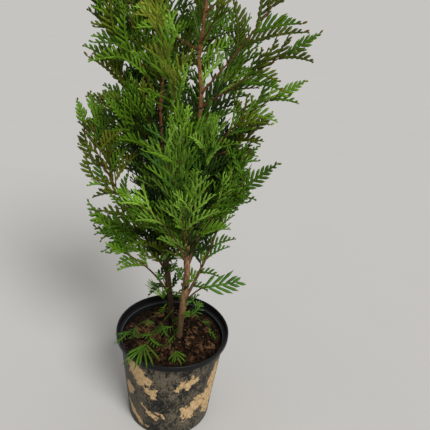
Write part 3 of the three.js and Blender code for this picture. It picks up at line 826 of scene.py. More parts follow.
class Limb:
    """An arc in one upright plane, with the direction across its flat sprays"""

    def __init__(self, row, number):
        (self.name, self.stem, self.height, compass, root_lean, tip_lean, self.length, roll, self.spray,
         self.bare, self.has_bough, self.style, self.palette, self.growth, tip_colour) = row
        self.azimuth = math.radians(compass)
        self.lean = math.radians(root_lean)
        self.bend = math.radians(tip_lean) - self.lean
        self.roll = math.radians(roll)
        self.number = number
        self.is_low = self.name.startswith("soil")
        self.is_broad = abs(math.cos(self.azimuth)) > BROAD_FROM
        self.closeness = SLIM_SLANT if self.style == "slim" else 1
        self.tip_tint = TINT_NUMBERS.get(tip_colour, -1)
        self.seed = FIRST_SEED + SEED_STEP * number
        self.root = stem_at(self.stem, self.height)
        tip_spray = min(self.spray * TIP_SPRAY, self.length - self.bare - ROOT_SUNK)
        self.last = self.length - tip_spray
        shift, grown, tip_twist = TIP_OF_STYLE.get(self.style, (0, 1, 0))
        self.tip_start = self.last + shift * tip_spray
        self.tip_length = grown * tip_spray
        self.tip_twist = math.radians(tip_twist)
        thickest = float(stem_radius(self.stem, self.height)) * SHARE_OF_STEM
        self.root_radius = min(THINNEST_ROOT + self.length / LENGTH_PER_RADIUS, thickest)

    def at(self, distance):
        """Its points, headings and the two directions across, at each distance from the root"""
        lean = self.lean + self.bend * np.asarray(distance, float) / self.length
        out = self.length * (np.cos(self.lean) - np.cos(lean)) / self.bend
        rise = self.length * (np.sin(lean) - np.sin(self.lean)) / self.bend
        cos_a, sin_a = math.cos(self.azimuth), math.sin(self.azimuth)
        heading = points(np.sin(lean) * cos_a, np.sin(lean) * sin_a, np.cos(lean))
        level = np.array([-sin_a, cos_a, 0.0])
        across = turned(level, np.cross(heading, level), self.roll)
        return self.root + points(cos_a * out, sin_a * out, rise), heading, across, np.cross(across, heading)

    def radius(self, distance):
        share = np.asarray(distance, float) / self.length
        return self.root_radius + (LIMB_TIP_RADIUS - self.root_radius) * share ** LIMB_TAPER

    def broad_turn(self, distance, rng):
        """The turn about its heading that lays a spray's flat side near the crown's broad side"""
        _, _, across, over = self.at(distance)
        return math.atan2(-across[1], over[1]) + math.radians(rng.uniform(-BROAD_STRAYS, BROAD_STRAYS))


LIMBS = [Limb(row, number) for number, row in enumerate(LIMB_ROWS)]
BY_NAME = {limb.name: limb for limb in LIMBS}


def limb_mesh(limb, start, end, sides):
    """The woody length of a limb, with its swollen root, its nodes and its bark"""
    distance = np.linspace(start, end, max(3, int((end - start) / LIMB_STEP)))
    angle = circle(sides)[None, :, None]
    point, _, across, over = limb.at(distance)
    girth = BARK_GIRTH + swelling(LOW_BOUGH_SWELLING, limb.height)
    radius = limb.radius(distance) * (girth + (COLLAR_GIRTH - girth) * np.exp(-distance / COLLAR_LENGTH))
    if limb.is_low:
        radius = radius * LOW_GIRTH
    nodes = NODE_SIZE * np.maximum(0, np.sin(distance / NODE_LENGTH)) ** 4
    relief = BOUGH_BARK_DEPTH * bark_relief(angle[..., 0], distance[:, None], limb.seed)
    swollen = (radius * (1 + nodes))[:, None] * (1 + relief)
    ring = across[:, None, :] * np.cos(angle) + over[:, None, :] * np.sin(angle)
    return tube((point[:, None, :] + ring * swollen[..., None])[:, ::-1, :])


# The foliage. A row is one leafy shoot: where it starts, its heading, the direction across its flat
# side, and its length, width, how much of its length it bows across and sags at its tip, the number of
# its limb and the number of its tint.
BASE = slice(0, 3)
HEADING = slice(3, 6)
FLAT = slice(6, 9)
LENGTH, WIDTH, BOW, SAG, OWNER, TINT = range(9, 15)
NO_ROWS = np.zeros((0, TINT + 1))


def make_rows(base, heading, flat, *columns):
    return np.column_stack([base, heading, flat, *(np.broadcast_to(column, len(base)) for column in columns)])


def one_row(point, heading, flat, *columns):
    return make_rows(point[None], heading[None], flat[None], *columns)


def of_owner(rows, values):
    """For each shoot, the one of the limbs' values that belongs to its own limb"""
    return np.asarray(values)[rows[:, OWNER].astype(int)]


def rib_width(length):
    return RIB_WIDTH + length / RIB_LENGTH_PER_WIDTH


def along_shoot(rows, share):
    """The point and the heading at a share of each shoot's length"""
    normal = np.cross(rows[:, HEADING], rows[:, FLAT])
    drift = rows[:, FLAT] * rows[:, BOW, None] + normal * rows[:, SAG, None]
    share = np.reshape(share, (-1, 1))
    point = rows[:, BASE] + rows[:, LENGTH, None] * (rows[:, HEADING] * share + drift * share ** 2)
    return point, unit(rows[:, HEADING] + 2 * drift * share)


def branch(parents, share, side, slant, length, width, bow, sag, lift):
    """A shoot from each parent, at a share of its length, to one side in its flat plane"""
    base, heading = along_shoot(parents, share)
    flat = parents[:, FLAT]
    normal = np.cross(heading, flat)
    side = np.reshape(side, (-1, 1))
    slant = np.radians(np.reshape(slant, (-1, 1)))
    lifted = normal * np.reshape(lift, (-1, 1))
    pointing = unit(heading * np.cos(slant) + flat * side * np.sin(slant) + lifted)
    across = unit(np.cross(normal, pointing))
    return make_rows(base, pointing, across, length, width, bow, sag, parents[:, OWNER], parents[:, TINT])


def repeated(parents, counts):
    """Each parent as often as its count, and the number of each copy from 0"""
    copies = np.repeat(np.arange(len(parents)), counts)
    starts = np.cumsum(counts) - counts
    return parents[copies], np.arange(len(copies)) - starts[copies], counts[copies]


def spindles(rows, kind):
    """Closed slim shoots, each a point, rings of four corners and a point, as one skin"""
    flat = rows[:, FLAT]
    normal = np.cross(rows[:, HEADING], flat)
    half_width = rows[:, WIDTH, None] / 2
    columns = [rows[:, BASE]]
    for share, girth in RINGS[kind]:
        centre, _ = along_shoot(rows, share)
        wide = flat * half_width * girth
        thick = normal * half_width * girth * FLATNESS
        columns += [centre - wide, centre - thick, centre + wide, centre + thick]
    columns.append(along_shoot(rows, 1)[0])
    vertices = np.stack(columns, axis=1)
    last = vertices.shape[1] - 1
    pattern = []
    for j in range(4):
        k = (j + 1) % 4
        pattern.append((0, 1 + k, 1 + j))
        for i in range(len(RINGS[kind]) - 1):
            a, b = 1 + 4 * i + j, 1 + 4 * i + k
            pattern += [(a, b, b + 4), (a, b + 4, a + 4)]
        pattern.append((last - 4 + j, last - 4 + k, last))
    starts = np.arange(len(rows)) * vertices.shape[1]
    faces = np.array(pattern)[None, :, :] + starts[:, None, None]
    return vertices.reshape(-1, 3), faces.reshape(-1, 3).tolist()


def grow_fingers(sprays, rng):
    """The fingers along both edges of each spray's rib, stubs on the edge that it bows to"""
    looks = [FINGER_STYLES[limb.style] for limb in LIMBS]
    counts = np.round(sprays[:, LENGTH] / of_owner(sprays, looks)[:, 0])
    parents, number, count = repeated(sprays, np.maximum(FEWEST_FINGERS, counts).astype(int))
    look = of_owner(parents, looks).T
    _, longest, share, slant, closes, width, stub_share, tail, start, shortens, first, hang = look
    total = len(parents)
    along = start + (1 - start) * (number + 0.5) / (count + 0.3)
    side = alternate(number)
    stub = side * parents[:, BOW] > 0
    even = parents[:, BOW] == 0
    slant = slant - closes * along + rng.normal(0, 2, total) - STUB_SLANT * stub
    growing = np.minimum(1, first + (along - start) * 3)
    fullness = growing * np.clip((1.03 - along) / (1.03 - shortens), tail, 1)
    length = np.minimum(longest, 2 + parents[:, LENGTH] * share) * fullness * rng.uniform(0.88, 1.1, total)
    length *= np.where(stub, stub_share, np.where(even, TIP_SPRAY_FINGERS, 1.0))
    bow = -side * rng.uniform(0.03, 0.12, total)
    sag = hang + rng.normal(0, 0.04, total)
    lift = rng.normal(0, 0.05, total)
    width = width * np.clip(length / SHORTEST_FULL_WIDTH, NARROWEST, 1)
    fingers = branch(parents, along, side, slant, length, width, bow, sag, lift)
    tip_tint = of_owner(fingers, [limb.tip_tint for limb in LIMBS])
    tinted = (along > TIP_COLOURED_FROM) & (tip_tint >= 0)
    fingers[tinted, TINT] = tip_tint[tinted]
    return fingers


def grow_side_shoots(fingers, rng):
    """The short scale-leaved shoots along the edges of each finger, alternate and pointing forward"""
    leafy = of_owner(fingers, [limb.style in LEAFY_STYLES for limb in LIMBS])
    long_enough = fingers[leafy & (fingers[:, LENGTH] > SHORTEST_WITH_SHOOTS)]
    counts = (long_enough[:, LENGTH] * SHOOTS_UP_TO / SHOOT_STEP).astype(int)
    parents, number, _ = repeated(long_enough, counts)
    total = len(parents)
    share = (number + 0.9) * SHOOT_STEP / parents[:, LENGTH]
    slant = SHOOT_SLANT + rng.normal(0, 4, total)
    length = (2.0 + 0.12 * parents[:, LENGTH]) * (1.2 - 0.6 * share) * rng.uniform(0.8, 1.15, total)
    return branch(parents, share, alternate(number), slant, length, SHOOT_WIDTH, 0, 0, np.zeros(total))


def keep_clear(rows):
    """Leaves out the shoots that would touch a stem, the compost or the pot's wall"""
    clear = np.ones(len(rows), bool)
    for share in (0.5, 1):
        point, _ = along_shoot(rows, share)
        height = point[:, 2]
        for stem in STEMS:
            bottom, top = ends(stem)
            beside = (height > bottom - 5) & (height < top)
            near = np.hypot(*away_from(stem, point))
            clear &= ~(beside & (near < stem_radius(stem, height) + CLEAR_OF_STEM))
        out = np.hypot(point[:, 0], point[:, 1])
        clear &= ~((height < SOIL_LEVEL + CLEAR_OF_SOIL) & (out < SHOULDER_RADIUS))
        by_lip = (out > SHOULDER_RADIUS - 2) & (out < LIP_RADIUS + 1)
        clear &= ~((height < POT_HEIGHT + CLEAR_OF_LIP) & by_lip)
    return rows[clear]


def within_crown(point):
    """Whether each point is inside the crown's rounded outline at its height"""
    levels, *reaches = np.array(CROWN_REACH, float).T
    left, right, front, back = (np.interp(point[:, 2], levels, reach) for reach in reaches)
    x, y = point[:, 0], point[:, 1] - CROWN_MIDDLE
    across = x / np.where(x < 0, left, right)
    along = y / np.where(y < 0, front + CROWN_MIDDLE, back - CROWN_MIDDLE)
    return abs(across) ** CROWN_ROUNDNESS + abs(along) ** CROWN_ROUNDNESS < 1


def kept_in_reach(rows):
    """The added sprays or twigs, each no longer than the crown's own reach lets it be"""
    rows = rows.copy()
    for _ in range(SHORTENINGS):
        beyond = ~within_crown(along_shoot(rows, 1)[0])
        rows[beyond, LENGTH] *= SHORTENED_TO
    return rows[(rows[:, LENGTH] > SHORTEST_SPRAY) & within_crown(along_shoot(rows, 0.6)[0])]


def pick_tint(palette, draw):
    """The number of one spray's green"""
    for tint, share in PALETTES[palette].items():
        draw -= share
        if draw < 0:
            break
    return TINT_NUMBERS[tint]


def spray_row(limb, distance, side, length, twist, rng, turn=0, slant=SPRAY_SLANT):
    """One spray's rib. side is 0 at the limb's tip, and turn swings it out of the limb's own plane."""
    point, heading, across, over = limb.at(distance)
    across = turned(across, over, turn)
    slant = (slant - SPRAY_SLANT_CLOSES * distance / limb.length - ARCH) * limb.closeness
    if not side and limb.style in STRAIGHT_TIP_STYLES:
        heading = unit(limb.at(limb.length)[0] - point)
    along = turned(heading, across * side, math.radians(slant) * abs(side))
    flat = squared(across, along)
    flat = turned(flat, np.cross(along, flat), twist)
    bow = side * math.tan(math.radians(ARCH)) * rng.uniform(*ARCH_VARIES)
    tint = pick_tint(limb.palette, rng.random())
    return one_row(point, along, flat, length, rib_width(length), bow, rng.normal(0, SPRAY_SAG),
                   limb.number, tint)


def limb_sprays(limb):
    """A limb's own sprays, whose lengths and twists come from the source's draws, the ones that face them
    and the ones turned out of their plane"""
    draw = seeded(limb.seed)
    rng = np.random.default_rng(limb.seed)
    twist = math.radians((next(draw) - 0.5) * SPRAY_TWIST)
    own = [spray_row(limb, limb.tip_start, 0, limb.tip_length, twist + limb.tip_twist, rng)]
    for number, share in enumerate(LOOSE_SPRAYS.get(limb.name, ())):
        length = LOOSE_LENGTH if limb.is_low else LOOSE_LENGTH_ON_WOOD
        own.append(spray_row(limb, share * limb.length, alternate(number), length, twist, rng,
                             rng.uniform(-1, 1), LOOSE_SLANT))
        if limb.is_low:
            own[-1][:, OWNER] = LOOSE_OWNER
    swung = [NO_ROWS]
    span = limb.last - limb.bare
    count = max(2, round(span / SPRAY_STEP))
    inner, outer = SPRAY_SIDES.get(limb.name, (1, 1))
    for k in range(count):
        side = alternate(k)
        share = (k + 0.5) / count
        shrunk = 1 - (1 - SPRAY_SHRINKS_TO) * share ** 1.5
        length = limb.spray * shrunk * (1 + SPRAY_VARIES * (next(draw) - 0.5))
        twist = math.radians((next(draw) - 0.5) * SPRAY_TWIST)
        distance = limb.bare + span * share
        if limb.style in ONE_SPRAY_STYLES or distance > limb.tip_start:
            continue
        own.append(spray_row(limb, distance, side, length, twist, rng))
        if limb.is_low:
            continue
        grown = length * SPRAY_GROWN
        facing = distance + FACING_SHIFT * span / count
        sided = grown * (inner if side < 0 else outer)
        own.append(spray_row(limb, facing, -side, sided, -twist, rng, 0, ADDED_SLANT))
        if limb.growth in ("open", "flat"):
            continue
        for number, shift in enumerate(TURNED_SHIFTS):
            place = distance + (shift - 0.5) * span / count
            turn = math.radians(rng.uniform(*TURNED_BY))
            if number != 1 and limb.is_broad:
                turn = limb.broad_turn(place, rng)
            shorter = grown * TURNED_LENGTH * rng.uniform(*TURNED_VARIES)
            swung_side = -alternate(k + number)
            swung.append(spray_row(limb, place, swung_side, shorter, twist, rng, turn, ADDED_SLANT))
    return np.concatenate(own), np.concatenate(swung)


def limb_twigs(limb):
    """The finer twigs of a limb, alternate and at several turns out of its plane, as rows"""
    rng = np.random.default_rng(limb.seed + 5)
    span = limb.last - limb.bare
    rows = [NO_ROWS]
    step = TWIG_STEP
    if limb.growth == "close":
        step = CLOSER_TWIG_STEP
    elif limb.style == "slim":
        step = WIDER_TWIG_STEP
    first = INWARD_TWIGS.get(limb.name, 0)
    for k in range(int(span * (1 - first) / step)):
        distance = limb.bare + span * first + (k + 0.2) * step
        length = min(LONGEST_TWIG, (limb.length - distance) * TWIG_LENGTH) * rng.uniform(0.85, 1.1)
        if length < SHORTEST_TWIG:
            break
        point, heading, across, over = limb.at(distance)
        turn = math.radians(TWIG_TURNS[k % len(TWIG_TURNS)] + rng.uniform(-12, 12))
        if k % 3 and limb.is_broad:
            turn = limb.broad_turn(distance, rng)
        out = turned(across, over, turn) * (-1 if limb.name in INWARD_TWIGS else alternate(k))
        pointing = turned(heading, out, math.radians(TWIG_SLANT) * limb.closeness)
        rows.append(one_row(point, pointing, squared(out, pointing), length, TWIG_WIDTH, TWIG_BOW, TWIG_SAG,
                            limb.number, 0))
    return np.concatenate(rows)


def twig_sprays(twigs, rng):
    """The sprays along both sides of each finer twig, and the one at its tip"""
    counts = np.maximum(3, np.round(twigs[:, LENGTH] / TWIG_SPRAY_STEP)).astype(int)
    parents, number, count = repeated(twigs, counts)
    total = len(parents)
    side = np.where(number == count - 1, 0.0, alternate(number))
    share = (number + 0.8) / (count - 0.2)
    length = TWIG_SPRAY * (1 - TWIG_SPRAY_SHRINKS * share ** 1.5) * rng.uniform(0.85, 1.1, total)
    slant = (TWIG_SPRAY_SLANT - TWIG_SPRAY_CLOSES * share - ARCH + rng.normal(0, 3, total)) * abs(side)
    slant = slant * of_owner(parents, [limb.closeness for limb in LIMBS])
    bow = side * math.tan(math.radians(ARCH)) * rng.uniform(*ARCH_VARIES, total)
    sag = rng.normal(0, SPRAY_SAG, total)
    lift = rng.normal(0, TWIG_SPRAY_LIFT, total)
    rows = branch(parents, share, side, slant, length, rib_width(length), bow, sag, lift)
    rows[:, TINT] = [pick_tint(LIMBS[int(owner)].palette, rng.random()) for owner in rows[:, OWNER]]
    return rows


def stem_spray_axes(out, lean, rng):
    """A stem spray's heading and the direction across it, its flat side near the crown's broad side"""
    level = np.array([-out[1], out[0], 0.0])
    heading = turned(UP, out, math.radians(lean))
    roll = math.radians(STEM_SPRAY_ROLL) * abs(out[0]) + rng.uniform(-0.5, 0.5)
    return heading, turned(level, np.cross(heading, level), roll)


def outward(angle):
    """The level direction at an angle in degrees from the right towards the back"""
    return np.array([math.cos(math.radians(angle)), math.sin(math.radians(angle)), 0.0])


def stem_sprays(stem, lowest, bare_front, seed):
    """Short sprays on the stem itself, all round it, with none in front where its bark shows"""
    rng = np.random.default_rng(seed)
    rows = []
    top = ends(stem)[1]
    limbs = [limb for limb in LIMBS if limb.stem is stem]
    low = np.arange(lowest, CLOSER_BELOW, STEM_SPRAY_STEP * STEM_SPRAY_CLOSER)
    heights = np.concatenate([low, np.arange(CLOSER_BELOW, top - 6, STEM_SPRAY_STEP)])
    for k, height in enumerate(heights):
        out = outward(GOLDEN_ANGLE * k + 90 + rng.uniform(-20, 20))
        if bare_front[0] < height < bare_front[1] and out[1] < IN_FRONT_BELOW:
            continue
        heading, flat = stem_spray_axes(out, STEM_SPRAY_LEAN + rng.uniform(-8, 8), rng)
        left = min(1 - 0.5 * (height - lowest) / (top - lowest), LOWEST_STEM_SPRAY + (height - lowest) / 90)
        length = STEM_SPRAY_LENGTH * left * rng.uniform(0.8, 1.15)
        owner = min(limbs, key=lambda limb: abs(limb.height - height)).number
        tint = pick_tint("mixed", rng.random())
        bow = (-1 if abs(out[0]) > SIDEWAYS_FROM else rng.choice((-1, 1))) * math.tan(math.radians(ARCH))
        rows.append(one_row(stem_at(stem, height), heading, flat, length, STEM_SPRAY_WIDTH, bow,
                            rng.normal(0, SPRAY_SAG), owner, tint))
    return np.concatenate(rows)


def low_stem_sprays(rng):
    """The few small sprays that grow all round the stems below the crown"""
    rows = []
    for name, lowest, highest, step in LOW_STEM_SPRAYS:
        limb = BY_NAME[name]
        for k, height in enumerate(np.arange(lowest, highest, step)):
            out = outward(GOLDEN_ANGLE * k + rng.uniform(-30, 30))
            heading, flat = stem_spray_axes(out, rng.uniform(*LOW_SPRAY_LEANS), rng)
            length = rng.uniform(*LOW_SPRAY_LENGTHS)
            tint = pick_tint("under", rng.random())
            rows.append(one_row(stem_at(limb.stem, height), heading, flat, length, RIB_WIDTH,
                                rng.uniform(-0.2, 0.2), rng.normal(0, SPRAY_SAG), limb.number, tint))
    return np.concatenate(rows)


def shade_inside(sprays, rng):
    """Paints shade deep inside the crown, giving most of the sprays there the darkest green"""
    middle, _ = along_shoot(sprays, 0.5)
    height = middle[:, 2]
    near = np.full(len(sprays), FAR)
    for stem in STEMS:
        right, behind = away_from(stem, middle)
        near = np.minimum(near, np.hypot(right, behind) * np.where(behind < 0, SHADED_IN_FRONT, 1.0))
    chance = np.where(height < LESS_SHADED_BELOW, LESS_SHADED, SHADED_SHARE)
    dark = (near < SHADED_WITHIN) & (height < SHADED_BELOW) & (rng.random(len(sprays)) < chance)
    sprays[dark & ~of_owner(sprays, [limb.is_low for limb in LIMBS]), TINT] = TINT_NUMBERS["shade"]


def bunches_of(kinds, tint):
    """The rows of one tint, a few limbs at a time, so that no piece is too large"""
    chosen = {kind: rows[rows[:, TINT] == tint] for kind, rows in kinds.items()}
    triangles = np.zeros(len(LIMBS))
    for kind, rows in chosen.items():
        triangles += 8 * len(RINGS[kind]) * np.bincount(rows[:, OWNER].astype(int), minlength=len(LIMBS))
    owners = []
    for number in np.flatnonzero(triangles):
        if owners and triangles[owners].sum() + triangles[number] > MOST_TRIANGLES:
            yield owners, chosen
            owners = []
        owners.append(number)
    if owners:
        yield owners, chosen


def bare_wood():
    """Points along the wood that shows bare in the photograph"""
    limb = BY_NAME[BARE_LIMB]
    stretches = [stem_at(stem, np.arange(low, high, 4)) for stem, low, high in BARE_WOOD]
    return np.concatenate([*stretches, limb.at(np.arange(0, limb.last, 5))[0]])


def out_of_the_way(rows, wood, spared=None):
    """Leaves out the shoots that would hide bare wood, but for those of the limb that is spared"""
    eye = np.array([0, -CAMERA_DISTANCE, CAMERA_HEIGHT])
    away = np.linalg.norm(wood - eye, axis=1)
    hidden = np.zeros(len(rows), bool)
    for share in (0.3, 0.65, 1):
        point = along_shoot(rows, share)[0] - eye
        near = np.linalg.norm(point, axis=1)
        for sight, distance in zip(unit(wood - eye), away):
            beside = np.linalg.norm(point - (point @ sight)[:, None] * sight, axis=1)
            hidden |= (beside < BARE_BESIDE * near / distance) & (near < distance)
    if spared is not None:
        hidden &= rows[:, OWNER] != spared
    return rows[~hidden]


def add_foliage(bark):
    """Every spray, in pieces of one tint each, and the finer twigs that they grow on"""
    rng = np.random.default_rng(7)
    wood = bare_wood()
    twiggy = [limb_twigs(limb) for limb in LIMBS if limb.growth not in ("airy", "open")]
    twigs = out_of_the_way(kept_in_reach(np.concatenate(twiggy)), wood)
    add_piece("finer_twigs", spindles(twigs, "rib"), bark)
    own, swung = zip(*(limb_sprays(limb) for limb in LIMBS))
    on_stems = [stem_sprays(*look) for look in STEM_SPRAYS]
    added = kept_in_reach(np.concatenate([*swung, twig_sprays(twigs, rng), *on_stems]))
    spared = BY_NAME[BARE_LIMB].number
    sprays = np.concatenate([*own, added, low_stem_sprays(np.random.default_rng(5))])
    sprays = out_of_the_way(sprays, wood, spared)
    shade_inside(sprays, rng)
    fingers = out_of_the_way(keep_clear(grow_fingers(sprays, rng)), wood, spared)
    kinds = {"rib": sprays, "finger": fingers, "shoot": keep_clear(grow_side_shoots(fingers, rng))}
    for tint, (name, look) in enumerate(TINTS.items()):
        material = foliage_finish(f"{name} scale leaves", *look)
        for number, (owners, chosen) in enumerate(bunches_of(kinds, tint), 1):
            skin = joined([spindles(rows[np.isin(rows[:, OWNER], owners)], kind)
                           for kind, rows in chosen.items()])
            masses = [LIMBS[owner].name for owner in owners]
            add_piece(f"foliage_{name}_{number}", skin, material, masses)


def add_limbs():
    """The boughs, the woody twigs that go on from them, and all the foliage"""
    bark = bark_finish(*BOUGH_BARK)
    boughs = [limb for limb in LIMBS if limb.has_bough]
    skin = joined([limb_mesh(limb, 0, limb.bare, 12) for limb in boughs])
    add_piece("boughs", skin, bark, [f"{limb.name}_bough" for limb in boughs])
    skin = joined([limb_mesh(limb, limb.bare * limb.has_bough, min(limb.tip_start, limb.last) + ROOT_SUNK, 8)
                   for limb in LIMBS if not limb.is_low])
    add_piece("twigs", skin, bark)
    skin = joined([limb_mesh(limb, 0, limb.tip_start + 2, 6) for limb in LIMBS if limb.is_low])
    add_piece("low_twigs", skin, bark_finish(*GREEN_BARK))
    add_foliage(bark)


# The pot

def arc(x, y, radius, start, end, count=5):
    """Points round a corner of a profile, from one angle to another"""
    angles = np.radians(np.linspace(start, end, count))
    return [(x + radius * math.cos(angle), y + radius * math.sin(angle)) for angle in angles]


def pot_profile():
    """Radius and height, from under the base, up the wall, round the lip and down inside"""
    levels = np.linspace(FOOT_ROUND, SHOULDER - 2, WALL_RINGS)
    wall = np.interp(levels, [FOOT_ROUND, SHOULDER - 2], [BASE_RADIUS, SHOULDER_RADIUS])
    lip = LIP_RADIUS - LIP_ROUND
    inner = LIP_RADIUS - LIP_WALL
    inner_wall = SHOULDER_RADIUS - POT_WALL
    profile = [(radius, 0) for radius in BASE_RINGS]
    profile += arc(BASE_RADIUS - FOOT_ROUND, FOOT_ROUND, FOOT_ROUND, -90, -8)
    profile += list(zip(wall, levels))
    profile += arc(SHOULDER_RADIUS + UNDER_LIP_ROUND, SHOULDER - UNDER_LIP_ROUND, UNDER_LIP_ROUND, 180, 90, 4)
    profile += arc(lip, SHOULDER + LIP_ROUND, LIP_ROUND, -90, 0)
    profile += arc(lip, POT_HEIGHT - LIP_ROUND, LIP_ROUND, 0, 90)
    profile += arc(inner + INNER_LIP_ROUND, POT_HEIGHT - INNER_LIP_ROUND, INNER_LIP_ROUND, 90, 180)
    profile += [(inner - 0.6, POT_HEIGHT - 4), (inner - LEDGE_ROUND, LEDGE + 2)]
    profile += arc(inner - 2 * LEDGE_ROUND, LEDGE + LEDGE_ROUND, LEDGE_ROUND, 0, -90, 4)
    profile += [(inner_wall, LEDGE), (inner_wall - 0.8, LEDGE - 2), (82, 100)]
    profile += [(radius, BASE_THICKNESS) for radius in (BASE_RADIUS - POT_WALL, *reversed(BASE_RINGS))]
    return np.array(profile)


def cut_drain_holes(pot):
    """Cuts short rods out of the pot's base"""
    angle = circle(DRAIN_SIDES)
    rods = []
    for k in range(DRAIN_HOLES):
        bearing = (k + 0.5) * 2 * math.pi / DRAIN_HOLES
        x = DRAIN_RING * math.cos(bearing) + DRAIN_RADIUS * np.cos(angle)
        y = DRAIN_RING * math.sin(bearing) + DRAIN_RADIUS * np.sin(angle)
        rods.append(tube(np.stack([points(x, y, level) for level in (-3.0, 6.0)])))
    cutter = placed("drain cutter", new_mesh("drain cutter", *joined(rods)))
    modifier = pot.modifiers.new("drainage", "BOOLEAN")
    modifier.operation = "DIFFERENCE"
    modifier.object = cutter
    graph = bpy.context.evaluated_depsgraph_get()
    pot.data = bpy.data.meshes.new_from_object(pot.evaluated_get(graph))
    pot.modifiers.clear()
    bpy.data.objects.remove(cutter)


def add_pot():
    """The thin wall, its slightly uneven lip and the holes in its base"""
    radius, height = pot_profile().T[:, :, None]
    angle = circle(POT_SIDES)[None, :]
    wavy = 0.22 * np.sin(3 * angle + height / 70) + 0.14 * np.sin(7 * angle - height / 40)
    swollen = radius + (wavy - 0.36) * np.clip(height / 40, 0, 1)
    skin = tube(points(swollen * np.cos(angle), swollen * np.sin(angle), height))
    cut_drain_holes(add_piece("nursery_pot", skin, pot_finish(), ["pot"]))


# The compost

def from_feet(x, y):
    """How far each place on the compost is from the nearer stem's foot"""
    feet = [stem["knots"][0] for stem in STEMS]
    return np.min([np.hypot(x - foot_x, y - foot_y) for _, foot_x, foot_y in feet], axis=0)


def soil_height(x, y):
    """The compost's surface: level round the stems, lumpy elsewhere, with fine crumbs all over"""
    lumpy = np.clip((from_feet(x, y) - LEVEL_ROUND_STEM) / 10, 0, 1)
    lump = np.sin(x * 0.11 + 1.3) * np.cos(y * 0.13 - 0.4) + 0.5 * np.sin(x * 0.23 + y * 0.19)
    crumbs = np.sin(x * 0.9 + np.sin(y * 0.5)) * np.sin(y * 0.8 + np.sin(x * 0.7)) * 0.7
    crumbs = crumbs + 0.4 * np.sin(x * 2.1 + y * 1.3) * np.sin(y * 2.4 - x * 0.9)
    return SOIL_LEVEL + SOIL_LUMP * lumpy * lump - lumpy + crumbs * SOIL_CRUMB


def wall_radius(height):
    """The compost's own radius against the inside of the pot's wall"""
    share = (height - FOOT_ROUND) / (SHOULDER - FOOT_ROUND)
    return BASE_RADIUS + (SHOULDER_RADIUS - BASE_RADIUS) * share - POT_WALL - 1


def add_compost():
    """One body that fills the pot, with chips of bark on top of it"""
    angle = circle(SOIL_SIDES)
    rings = []
    for radius in np.linspace(1, wall_radius(SOIL_LEVEL), SOIL_RINGS):
        x, y = radius * np.cos(angle), radius * np.sin(angle)
        rings.append(points(x, y, soil_height(x, y)))
    for height in (150, 100, 50, BASE_THICKNESS + 0.6):
        rings.append(points(wall_radius(height) * np.cos(angle), wall_radius(height) * np.sin(angle), height))
    looks = {name: compost_finish(name, *look) for name, look in COMPOST_LOOKS.items()}
    skin = tube(np.stack(rings)[:, ::-1, :])
    add_piece("compost_bed", skin, looks["composted bark"], ["compost"])
    for number, (name, (look, *sizes)) in enumerate(CHIPS.items()):
        skin = chips(*sizes, np.random.default_rng(40 + number))
        add_piece(f"bark_chips_{name}", skin, looks[look])


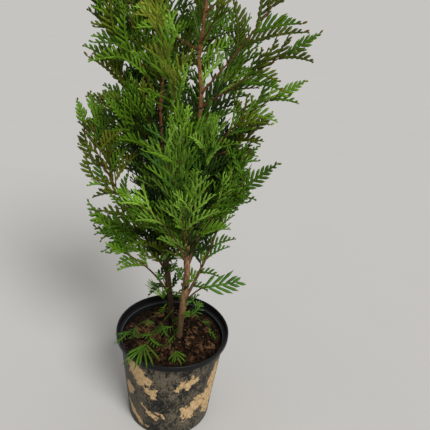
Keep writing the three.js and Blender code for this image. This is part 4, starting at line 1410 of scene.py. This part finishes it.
def chips(count, shortest, longest, narrowest, widest, rng):
    """Flat ragged chips that lie on the compost at all angles, more small ones than large"""
    reach = wall_radius(SOIL_LEVEL) - 2
    length = shortest + (longest - shortest) * rng.uniform(0, 1, count) ** 1.8
    away = (reach - length * 0.45) * np.sqrt(rng.uniform(0, 1, count))
    bearing = rng.uniform(0, 2 * np.pi, count)
    x, y = away * np.cos(bearing), away * np.sin(bearing)
    if longest < FLECK_LENGTH:
        heaped = rng.random(count) < FLECK_SHARE
        x = np.where(heaped, rng.normal(FLECK_HEAP[0], FLECK_SPREAD, count), x)
        y = np.where(heaped, rng.normal(FLECK_HEAP[1], FLECK_SPREAD, count), y)
    free = from_feet(x, y) > CHIPS_CLEAR_OF_STEM + length * 0.5
    x, y, length = x[free], y[free], length[free]
    count = len(x)
    shape = (count, CHIP_CORNERS)
    width = length * rng.uniform(narrowest, widest, count)
    thick = np.clip(length * rng.uniform(0.1, 0.24, count), *CHIP_THICKNESS)
    around = circle(CHIP_CORNERS) + rng.uniform(-0.3, 0.3, shape)
    ragged = rng.uniform(0.72, 1.12, shape)
    local_x = np.cos(around) * ragged * length[:, None] / 2
    local_y = np.sin(around) * ragged * width[:, None] / 2
    turn = rng.uniform(0, 2 * np.pi, count)[:, None]
    lean_x, lean_y = rng.normal(0, CHIP_LEAN, (2, count))
    middle = soil_height(x, y) + thick * rng.uniform(0.1, 0.8, count)
    levels = []
    for side, size in ((-0.5, 1.0), (0.5, 0.86)):
        px = (local_x * np.cos(turn) - local_y * np.sin(turn)) * size
        py = (local_x * np.sin(turn) + local_y * np.cos(turn)) * size
        dented = rng.uniform(-0.25, 0.25, shape) * thick[:, None]
        pz = px * lean_x[:, None] + py * lean_y[:, None] + side * thick[:, None] + dented
        levels.append(points(px + x[:, None], py + y[:, None], pz + middle[:, None]))
    vertices = np.concatenate(levels, axis=1)
    faces = []
    for start in range(0, count * CHIP_CORNERS * 2, CHIP_CORNERS * 2):
        low = range(start, start + CHIP_CORNERS)
        high = range(low.stop, low.stop + CHIP_CORNERS)
        faces += [tuple(reversed(low)), tuple(high)]
        for j in range(CHIP_CORNERS):
            k = (j + 1) % CHIP_CORNERS
            faces.append((low[j], low[k], high[k], high[j]))
    return vertices.reshape(-1, 3), faces


# The studio

def place_camera():
    """The photograph's own viewpoint, as one that looks down at the pot from in front"""
    pitch, yaw, roll = (math.radians(angle) for angle in (CAMERA_PITCH, CAMERA_YAW, CAMERA_ROLL))
    ahead = Vector((math.sin(yaw) * math.cos(pitch), math.cos(yaw) * math.cos(pitch), -math.sin(pitch)))
    level = Vector((math.cos(yaw), -math.sin(yaw), 0))
    down = ahead.cross(level)
    right = turned(level, down, roll)
    below = turned(down, -level, roll)
    facing = Matrix((right, -below, -ahead)).transposed().to_4x4()
    data = bpy.data.cameras.new("camera")
    data.lens = data.sensor_width * FOCAL_PIXELS / IMAGE_SIDE
    camera = placed("camera", data)
    camera.matrix_world = Matrix.Translation(Vector((0, -CAMERA_DISTANCE, CAMERA_HEIGHT)) * MM) @ facing
    bpy.context.scene.camera = camera


def light_studio():
    """Even pale daylight, with the brighter side high in front and to the right"""
    data = bpy.data.lights.new("window", "SUN")
    data.energy = SUN_STRENGTH
    data.angle = math.radians(SUN_SOFTNESS)
    data.color = SUN_COLOUR
    lamp = placed("window", data)
    lamp.rotation_mode = "QUATERNION"
    lamp.rotation_quaternion = Vector(SUN_HEADING).to_track_quat("-Z", "Y")
    world = bpy.data.worlds.new("pale room")
    world.use_nodes = True
    background = world.node_tree.nodes["Background"]
    background.inputs["Color"].default_value = (*ROOM_COLOUR, 1)
    background.inputs["Strength"].default_value = ROOM_STRENGTH
    bpy.context.scene.world = world
    bpy.context.scene.view_settings.view_transform = "Standard"


def add_floor():
    """A plain pale floor, wide enough for any view"""
    angle = circle(FLOOR_SIDES)
    ring = points(FLOOR_REACH * np.cos(angle), FLOOR_REACH * np.sin(angle), FLOOR_LEVEL)
    mesh = new_mesh("floor", ring, [tuple(range(FLOOR_SIDES))], 1)
    mesh.materials.append(floor_finish())
    floor = placed("floor", mesh)


place_camera()
light_studio()
add_floor()
add_pot()
add_compost()
add_stems()
add_limbs()
